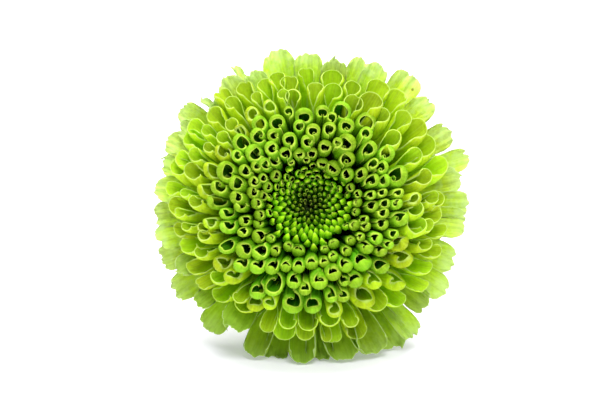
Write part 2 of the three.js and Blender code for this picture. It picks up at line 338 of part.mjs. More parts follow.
// Florets of neighbouring rows keep clear of each other: where two would touch, both are
// made slimmer in the same proportion.
const CLEAR = 0.25;
const samples = rowList.map((list) => list.map((f) => {
  const rib = midrib(f.alpha, f.r, f.z, f.dir), e = [Math.cos(f.theta), Math.sin(f.theta)];
  return [0.3, 0.5, 0.7, 0.8, 0.86, 0.93, 0.97].map((u) => {
    const m = rib(u), n = [-m.t[1], m.t[0]];
    const k = u <= 0.7 ? 0.24 + (u - 0.3) * 1.2 : Math.min(1, 0.72 + (u - 0.7) * 1.22);
    const b = Math.min(f.half[0], f.half[1]) * k, r = m.r + n[0] * b, z = m.z + n[1] * b;
    return { p: [e[0] * r, e[1] * r, z], n: [e[0] * n[0], e[1] * n[0], n[1]], t: [-e[1], e[0], 0], k };
  });
}));
const dot = (a, b) => a[0] * b[0] + a[1] * b[1] + a[2] * b[2];
for (let pass = 0; pass < 3; pass++) {
  for (let i = 0; i < rowList.length; i++) for (let j = i; j < Math.min(rowList.length, i + 4); j++) {
    rowList[i].forEach((f, fi) => rowList[j].forEach((g, gi) => {
      if (i === j && gi <= fi) return;
      for (const a of samples[i][fi]) for (const b of samples[j][gi]) {
        const d = [b.p[0] - a.p[0], b.p[1] - a.p[1], b.p[2] - a.p[2]];
        const L = Math.sqrt(dot(d, d));
        if (L > 7) continue;
        const reach = (s, q) => (Math.abs(dot(d, s.t)) * Math.max(q.half[0] * s.k, 0.2)
          + Math.abs(dot(d, s.n)) * Math.max(q.half[1] * s.k, 0.2)) / L;
        const need = reach(a, f) + reach(b, g);
        if (need + CLEAR > L && L > 0.6) {
          const k = Math.max(0.5, (L - CLEAR) / need);
          f.half = f.half.map((v) => v * k);
          g.half = g.half.map((v) => v * k);
        }
      }
    }));
  }
}
ROWS.forEach(([kind, lo, hi], row) => {
  const s = floretRow(lo + SEAT_GAP_DEG, hi - SEAT_GAP_DEG, rowList[row]);
  addMesh(`floret_row_${String(row + 1).padStart(2, '0')}`, s.geometry(), MAT[kind]);
});

// ---------------------------------------------------------------- back rows
[['floret_row_back_1', 97.6, 101.2, 20, 30.4, -5.6, 110, 5.4, 0.3],
  ['floret_row_back_2', 101.8, 105.4, 20, 28.0, -9.0, 121, 5.0, 0.8]].forEach(
  ([name, lo, hi, n, r, z, d, w, phase], k) => {
    const florets = [];
    for (let i = 0; i < n; i++) {
      florets.push({
        theta: 2 * Math.PI * (i + phase) / n + 0.03 * noise(i, 11 + k), r: r + 0.7 * noise(i, 21 + k),
        z: z + 0.4 * noise(i, 31 + k), dir: d, alpha: (lo + hi) / 2, half: [0.42 * w, 0.45], least: 0.26, skip: 0,
      });
    }
    addMesh(name, floretRow(lo, hi, florets).geometry(), MAT.back);
  });

// ---------------------------------------------------------------- outermost florets
// Each is a strap of its own; neighbours lie alternately in front and behind.
const wasm = await Module();
wasm.setup();
function trimToFloor(geometry) {
  // Lays a tip flat where it reaches the surface that the bloom rests on.
  geometry.computeBoundingBox();
  if (geometry.boundingBox.min.z > FLOOR_TRIM - 1e-4) return geometry;
  const index = new Map(), verts = [], tris = [];
  const p = geometry.getAttribute('position');
  for (let i = 0; i < p.count; i++) {
    const key = [p.getX(i), p.getY(i), p.getZ(i)].map((v) => v.toFixed(5)).join();
    if (!index.has(key)) { index.set(key, verts.length / 3); verts.push(p.getX(i), p.getY(i), p.getZ(i)); }
    tris.push(index.get(key));
  }
  const man = new wasm.Manifold(new wasm.Mesh({
    numProp: 3, vertProperties: new Float32Array(verts), triVerts: new Uint32Array(tris) }));
  const slab = new THREE.BoxGeometry(400, 400, 20).translate(0, 0, FLOOR_TRIM - 10);
  const sv = [], st = [], si = new Map(), sp = slab.getAttribute('position');
  for (const i of slab.getIndex().array) {
    const key = [sp.getX(i), sp.getY(i), sp.getZ(i)].join();
    if (!si.has(key)) { si.set(key, sv.length / 3); sv.push(sp.getX(i), sp.getY(i), sp.getZ(i)); }
    st.push(si.get(key));
  }
  const cut = new wasm.Manifold(new wasm.Mesh({
    numProp: 3, vertProperties: new Float32Array(sv), triVerts: new Uint32Array(st) }));
  const out = man.subtract(cut).getMesh();
  const pos = [];
  for (const i of out.triVerts) for (let k = 0; k < 3; k++) pos.push(out.vertProperties[i * out.numProp + k]);
  const g = new THREE.BufferGeometry();
  g.setAttribute('position', new THREE.Float32BufferAttribute(pos, 3));
  return g;
}

const outer = OUTER.split(' ').map((t) => t.split(',').map(Number)).sort((p, q) => p[0] - q[0]);
outer.forEach(([az, r, w], i) => {
  const behind = i % 2 === 1;
  const alpha = behind ? 94.4 : 89.4;
  const rib = midrib(alpha, r, lookup(PROFILE, r) + (behind ? -1.5 : 0.7), lookup(TIP_DIR, r) + (behind ? 4 : 0));
  const s = new Shell();
  const th = rad(az), er = [Math.cos(th), Math.sin(th)], et = [-er[1], er[0]];
  const rows = [[0.0, 0.4, 0.24], [0.4, 0.18 * w, 0.3], [0.68, 0.33 * w, 0.34],
    [0.86, 0.42 * w, 0.34], [0.98, 0.27 * w, 0.30]];
  let last = null;
  for (const [u, a, b] of rows) {
    const m = rib(u), n = [-m.t[1], m.t[0]];
    const dish = 0.22 * a;                     // the margins stand up from the midrib
    const sect = [[-1, dish + b * 0.7], [-0.55, 0.28 * dish - b], [0.55, 0.28 * dish - b], [1, dish + b * 0.7], [0.45, b], [-0.45, b]];
    const ring = sect.map(([x, y]) => {
      const rr = m.r + n[0] * y, zz = m.z + n[1] * y;
      return s.vertex(er[0] * rr + et[0] * a * x, er[1] * rr + et[1] * a * x, zz);
    });
    if (last) for (let c = 0; c < 6; c++) s.quad(last[c], last[(c + 1) % 6], ring[(c + 1) % 6], ring[c]);
    else { s.quad(ring[0], ring[5], ring[4], ring[3]); s.quad(ring[0], ring[3], ring[2], ring[1]); }
    last = ring;
  }
  s.quad(last[0], last[1], last[2], last[3]);
  s.quad(last[0], last[3], last[4], last[5]);
  addMesh(`outer_floret_${String(i + 1).padStart(2, '0')}`, s.geometry(), MAT.o);
});

for (const mesh of group.children) mesh.geometry = trimToFloor(mesh.geometry);

export default group;
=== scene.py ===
import bpy
from mathutils import Vector, Matrix


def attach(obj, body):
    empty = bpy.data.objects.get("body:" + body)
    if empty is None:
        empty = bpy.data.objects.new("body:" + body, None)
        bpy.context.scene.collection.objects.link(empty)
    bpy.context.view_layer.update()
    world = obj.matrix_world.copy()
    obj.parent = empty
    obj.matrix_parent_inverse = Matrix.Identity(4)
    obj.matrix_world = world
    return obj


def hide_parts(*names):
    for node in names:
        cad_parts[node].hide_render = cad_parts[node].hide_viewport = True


# Pompon chrysanthemum: the shown form of every floret, bract and the stalk, built from formulas.
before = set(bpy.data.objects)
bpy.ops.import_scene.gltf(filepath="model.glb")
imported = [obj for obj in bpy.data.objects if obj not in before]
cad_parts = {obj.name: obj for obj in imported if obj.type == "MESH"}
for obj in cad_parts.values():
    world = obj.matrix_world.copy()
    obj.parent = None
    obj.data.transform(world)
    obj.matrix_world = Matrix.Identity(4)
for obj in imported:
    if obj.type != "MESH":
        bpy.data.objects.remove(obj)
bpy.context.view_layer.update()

import math
import numpy as np

# ------------------------------------------------------------------ shared dimensions (mm)
TILT = math.radians(20.0)
HEAD = np.array([-0.57, -29.07, 32.15])
DOME_Z, SEAT_R = -8.0, 9.3
PROFILE = np.array([[0, 5], [4.5, 7.5], [8.9, 13], [12.3, 18], [16.8, 21], [21.2, 20],
                    [25.7, 16.5], [30.2, 10], [33.5, 4], [35.3, 0], [37.1, -3]], float)
TIP_DIR = np.array([[0, -10], [4.5, -14], [8.9, -4], [12.3, 8], [16.8, 22], [21.2, 36],
                    [25.7, 52], [30.2, 70], [33.5, 84], [35.8, 98], [37.1, 106]], float)
RIGHT = np.array([1.0, 0.0, 0.0])
UP = np.array([0.0, math.sin(TILT), math.cos(TILT)])
AXIS = np.array([0.0, -math.cos(TILT), math.sin(TILT)])


def rnd(*key):
    """Repeatable value in 0..1 from a few numbers."""
    h = 2166136261
    for k in key:
        h = ((h ^ (int(round(k * 1000)) & 0xffffffff)) * 16777619) & 0xffffffff
        h ^= h >> 13
        h = (h * 1274126177) & 0xffffffff
        h ^= h >> 16
    return (h % 1000003) / 1000003.0


def sym(*key):
    return 2.0 * rnd(*key) - 1.0


def to_part(p):
    """Bloom frame (mm) to the part's frame (m)."""
    q = p[..., 0:1] * RIGHT + p[..., 1:2] * UP + p[..., 2:3] * AXIS + HEAD
    return q * 0.001


# ------------------------------------------------------------------ midrib
def midrib(alpha, r_tip, z_tip, tip_deg, hook_len=0.0, hook_deg=0.0, n=72):
    """Radius, height and direction angle along the midrib, by arc length."""
    a = math.radians(alpha)
    p0 = np.array([SEAT_R * math.sin(a), DOME_Z + SEAT_R * math.cos(a)])
    p3 = np.array([r_tip, z_tip])
    L = np.hypot(*(p3 - p0))
    b0, b3 = math.radians(0.75 * alpha), math.radians(tip_deg)
    p1 = p0 + 0.45 * L * np.array([math.sin(b0), math.cos(b0)])
    p2 = p3 - 0.38 * L * np.array([math.sin(b3), math.cos(b3)])
    u = np.linspace(0, 1, n)[:, None]
    v = 1 - u
    p = v**3 * p0 + 3 * v * v * u * p1 + 3 * v * u * u * p2 + u**3 * p3
    d = v * v * (p1 - p0) + 2 * v * u * (p2 - p1) + u * u * (p3 - p2)
    ang = np.unwrap(np.arctan2(d[:, 0], d[:, 1]))
    s = np.concatenate([[0], np.cumsum(np.hypot(*np.diff(p, axis=0).T))])
    if hook_len > 0:
        m = 24
        t = np.linspace(0, 1, m + 1)
        ha = ang[-1] - math.radians(hook_deg) * t**1.25
        step = hook_len / m
        hp = [p[-1]]
        for i in range(m):
            am = 0.5 * (ha[i] + ha[i + 1])
            hp.append(hp[-1] + step * np.array([math.sin(am), math.cos(am)]))
        p = np.vstack([p, np.array(hp[1:])])
        ang = np.concatenate([ang, ha[1:]])
        s = np.concatenate([s, s[-1] + step * np.arange(1, m + 1)])
    return s, p, ang


# how the mouth's edge falls back from the tip, from the midrib to a margin
_mx = np.linspace(0, 1, 81)
_my = np.interp(_mx, [0, 0.12, 0.22, 0.32, 0.42, 0.50, 0.62, 0.80, 1.0], [0, 0.01, 0.06, 0.22, 0.48, 0.66, 0.82, 0.93, 1.0])
_mk = np.hanning(13)
_mk /= _mk.sum()
MOUTH_X, MOUTH_Y = _mx, np.convolve(np.pad(_my, 6, mode='reflect', reflect_type='odd'), _mk, mode='valid')
MOUTH_Y = MOUTH_Y - MOUTH_Y[0]

# ------------------------------------------------------------------ cross-section
def turning(segs, nf):
    """Turning angle (radians) against the fraction of a side's arc, and the arc length."""
    total = sum(l for l, _ in segs)
    xs, ys = [0.0], [0.0]
    for l, t in segs:
        xs.append(xs[-1] + l / total)
        ys.append(ys[-1] + math.radians(t))
    x = np.linspace(0, 1, nf + 1)
    y = np.interp(x, xs, ys)
    k = np.array([1, 2, 3, 2, 1.0]); k /= k.sum()
    yp = np.concatenate([[-y[2], -y[1]], y, [2 * y[-1] - y[-2], 2 * y[-1] - y[-3]]])
    return np.convolve(yp, k, mode='valid'), total


def teardrop(aspect):
    """Segments, in units of half the width, of one side of a closed drop outline."""
    best = None
    for d in range(100, 181, 2):
        f = math.radians(d)
        a = ((1 - math.cos(f)) + math.tan(math.pi - f) * math.sin(f)) / 2
        if best is None or abs(a - aspect) < best[0]:
            best = (abs(a - aspect), d, f)
    _, d, f = best
    return [(f, d), (max(0.02, math.tan(math.pi - f)) * 0.97, 0.0)]


FLOOR_UP = np.array([0.0, math.cos(TILT), math.sin(TILT)])      # the part's Z in the bloom frame


def lay_on_floor(P, low=0.14, soft=0.30):
    """Bends whatever would reach below the surface flat on to it."""
    z = P @ FLOOR_UP + HEAD[2]
    t = (z - low) / soft
    new = low + soft * np.logaddexp(0.0, np.clip(t, -40, 60))
    new = np.where(t > 12, z, new)
    return P + (new - z)[..., None] * FLOOR_UP


class Mesh:
    """Collects many closed sheets in one mesh."""
    def __init__(self):
        self.v, self.q, self.att = [], [], []
        self.count = 0

    def add(self, v, q, att):
        self.v.append(v); self.q.append(q + self.count); self.att.append(att)
        self.count += len(v)

    def arrays(self):
        return np.vstack(self.v), np.vstack(self.q), np.vstack(self.att)


def sheet(P, thick, edge, extra):
    """A closed sheet of the given thickness round the grid P (rows, columns, 3)."""
    nr, nc = P.shape[:2]
    du = np.gradient(P, axis=0)
    dv = np.gradient(P, axis=1)
    n = np.cross(dv, du)
    n /= np.maximum(np.linalg.norm(n, axis=-1, keepdims=True), 1e-9)
    h = 0.5 * thick[..., None]
    top = P + n * h            # outer (abaxial) face
    bot = P - n * h            # inner (adaxial) face
    idx = np.arange(nr * nc).reshape(nr, nc)
    N = nr * nc
    a, b, c, d = idx[:-1, :-1], idx[:-1, 1:], idx[1:, 1:], idx[1:, :-1]
    qt = np.stack([a, b, c, d], -1).reshape(-1, 4)
    qb = np.stack([a, d, c, b], -1).reshape(-1, 4) + N
    # boundary loop, following the direction of the top quads' outline
    loop = np.concatenate([idx[0, :-1], idx[:-1, -1], idx[-1, :0:-1], idx[:0:-1, 0]])
    out = np.zeros_like(P)
    un = du / np.maximum(np.linalg.norm(du, axis=-1, keepdims=True), 1e-9)
    vn = dv / np.maximum(np.linalg.norm(dv, axis=-1, keepdims=True), 1e-9)
    out[0] -= un[0]; out[-1] += un[-1]; out[:, 0] -= vn[:, 0]; out[:, -1] += vn[:, -1]
    out /= np.maximum(np.linalg.norm(out, axis=-1, keepdims=True), 1e-9)
    rim = (P + out * h * 0.9).reshape(-1, 3)[loop]
    m = len(loop)
    ri = 2 * N + np.arange(m)
    nx = np.roll(np.arange(m), -1)
    q1 = np.stack([loop, ri, ri[nx], loop[nx]], -1)
    q2 = np.stack([ri, loop + N, loop[nx] + N, ri[nx]], -1)
    v = np.vstack([top.reshape(-1, 3), bot.reshape(-1, 3), rim])
    q = np.vstack([qt, qb, q1, q2])
    e = edge.reshape(-1)
    x = extra.reshape(N, -1)
    att = np.vstack([
        np.column_stack([e, x, np.zeros(N)]),
        np.column_stack([e, x, np.ones(N)]),
        np.column_stack([np.zeros(m), x[loop], np.full(m, 0.5)])])
    return v, q, att


def frames(s_tab, p_tab, ang_tab, S, theta, sway, wob, twist, L):
    """Points and frames at the arc lengths S (any shape)."""
    def at(x):
        r = np.interp(x, s_tab, p_tab[:, 0]); z = np.interp(x, s_tab, p_tab[:, 1])
        u = np.clip(x / L, 0, 1.2)
        th = theta + (sway * (1 - u)**2 + wob * np.sin(u * 5.5 + wob * 90)) 
        return np.stack([r * np.cos(th), r * np.sin(th), z], -1), th
    p, th = at(S)
    e = 0.02
    p2, _ = at(np.minimum(S + e, s_tab[-1]))
    p1, _ = at(S - e)
    T = p2 - p1
    T /= np.maximum(np.linalg.norm(T, axis=-1, keepdims=True), 1e-12)
    a = np.interp(S, s_tab, ang_tab)
    er = np.stack([np.cos(th), np.sin(th), np.zeros_like(th)], -1)
    ez = np.array([0, 0, 1.0])
    N = -np.cos(a)[..., None] * er + np.sin(a)[..., None] * ez
    N -= (N * T).sum(-1, keepdims=True) * T
    N /= np.linalg.norm(N, axis=-1, keepdims=True)
    B = np.cross(N, T)
    t = twist * np.clip(S / L, 0, 1.2)**2
    c, s_ = np.cos(t)[..., None], np.sin(t)[..., None]
    return p, B * c + N * s_, N * c - B * s_, T


def floret(mesh, f):
    """One ray floret from the dictionary f, as a closed thin blade."""
    if 'path' in f:
        s_tab, p_tab, a_tab = f['path']
    else:
        s_tab, p_tab, a_tab = midrib(f['alpha'], f['r'], f['z'], f['dir'], f.get('hook_len', 0), f.get('hook', 0))
    L = s_tab[-1]
    nh = f.get('nh', 9)               # columns a side
    nr_lo, nr_hi = f.get('rows', (7, 9))
    sub = 3
    nf = nh * sub
    phA, HA, phB, HB = {}, {}, {}, {}
    for sd in (-1, 1):
        phA[sd], HA[sd] = turning(f['secA'][sd], nf)
        phB[sd], HB[sd] = turning(f['secB'][sd], nf)
    # rows: straight up to ua, then stretched to the cut at the end
    xi = np.linspace(0, 1, nh + 1)
    cols = np.concatenate([-xi[:0:-1], xi])
    side = np.sign(cols); side[nh] = 1
    ax = np.abs(cols)
    cut = {sd: f['cut'][sd] for sd in (-1, 1)}      # mm by which a margin ends short of the tip
    cutv = np.where(side > 0, cut[1], cut[-1])
    if f.get('strap'):
        q = f.get('blunt', 2.2)
        fall = cutv * (1 - (1 - np.minimum(ax, 1) ** q) ** (1 / q))
    else:
        fall = cutv * np.interp(ax, MOUTH_X, MOUTH_Y)
    if 'teeth' in f:
        fall = fall + f['teeth'](cols)
    end = L - fall
    if 'ua_mm' in f:
        ua = max(0.2 * L, L - f['ua_mm'])
    else:
        ua = (0.60 if f.get('strap') else max(0.35, 1 - (max(cut[1], cut[-1]) + f.get('hook_len', 0) + 0.8 * f['w']) / L)) * L
    lo = np.linspace(0, 1, nr_lo + 1)[:-1] * ua
    t = np.linspace(0, 1, nr_hi + 1)
    t = t + 0.10 * np.sin(np.pi * t) * f.get('dense', 1.0)
    S = np.vstack([np.repeat(lo[:, None], len(cols), 1), ua + t[:, None] * (end[None, :] - ua)])
    u = S / L
    # scale and opening along the length
    rho = np.interp(u, f['rho'][0], f['rho'][1])
    if 'bulb' in f:                                # swelling near the tip, by distance from it
        d = (L - S) / f['w']
        rho = rho * np.interp(d, f['bulb'][0], f['bulb'][1])
    if 'gape' in f:                                # the margins part in a V at the throat
        g = np.sin(0.5 * np.pi * np.clip((S - (L - f['gape'][0])) / (f['gape'][0] * f['gape'][1]), 0, 1))
    elif 'open_mm' in f:
        g = np.clip((S - (L - f['open_mm'])) / f['open_mm'], 0, 1)
    else:
        g = np.interp(u, f['open'][0], f['open'][1])
    # integrate the section for every grid point: rows of u, columns by side
    P2 = np.zeros(S.shape + (2,))
    for sd in (-1, 1):
        j = np.where(side == sd)[0] if sd > 0 else np.where(side < 0)[0]
        k = np.round(ax[j] * nf).astype(int)
        ph = (1 - g[:, j, None]) * phA[sd] + g[:, j, None] * phB[sd]
        H = (rho[:, j] * ((1 - g[:, j]) * HA[sd] + g[:, j] * HB[sd]))[..., None] / nf
        cm = 0.5 * (np.cos(ph[..., 1:]) + np.cos(ph[..., :-1])) * H
        sm = 0.5 * (np.sin(ph[..., 1:]) + np.sin(ph[..., :-1])) * H
        cx = np.concatenate([np.zeros(cm.shape[:2] + (1,)), np.cumsum(cm, -1)], -1)
        cy = np.concatenate([np.zeros(cm.shape[:2] + (1,)), np.cumsum(sm, -1)], -1)
        ii = np.arange(S.shape[0])[:, None]; jj = np.arange(len(j))[None, :]
        P2[:, j, 0] = sd * cx[ii, jj, k[None, :]]
        P2[:, j, 1] = cy[ii, jj, k[None, :]]
    if 'pinch' in f:                               # the lips draw in round the mouth
        k = np.interp((end[None, :] - S) / f['w'], f['pinch'][0], f['pinch'][1])
        yc = f['mid'] * rho
        P2[..., 0] *= k
        P2[..., 1] = yc + (P2[..., 1] - yc) * k
    p, B, N, T = frames(s_tab, p_tab, a_tab, S, f['theta'], f.get('sway', 0), f.get('wob', 0), f.get('twist', 0), L)
    P = p + B * P2[..., 0:1] + N * P2[..., 1:2]
    if 'lift' in f:                                # tips turn up, away from the surface
        P[..., 1] += f['lift'] * f['w'] * np.clip((S - (L - 2.4 * f['w'])) / (2.4 * f['w']), 0, 1) ** 2
    # distance to the margins in mm
    Hs = np.where(side > 0, HA[1] * (1 - g) + HB[1] * g, HA[-1] * (1 - g) + HB[-1] * g) * rho
    edge = np.minimum((1 - ax)[None, :] * Hs, end[None, :] - S)
    edge = np.maximum(edge, 0)
    if 'wave' in f:
        P = f['wave'](P, u, cols, N, T, edge)
    P = lay_on_floor(P)
    base_t, rim_t = f.get('thick', (0.24, 0.36))
    w = np.exp(-(edge / 0.30)**2)
    thick = base_t + (rim_t - base_t) * w
    thick = thick * np.clip(0.5 + rho / 1.2, 0.5, 1.0)
    extra = np.stack([u, np.repeat(cols[None, :], len(S), 0)], -1)
    v, q, att = sheet(P, thick, edge, extra)
    att = np.column_stack([att, np.full(len(v), f['seed']), np.full(len(v), f['rz'])])
    mesh.add(v, q, att)
    return P
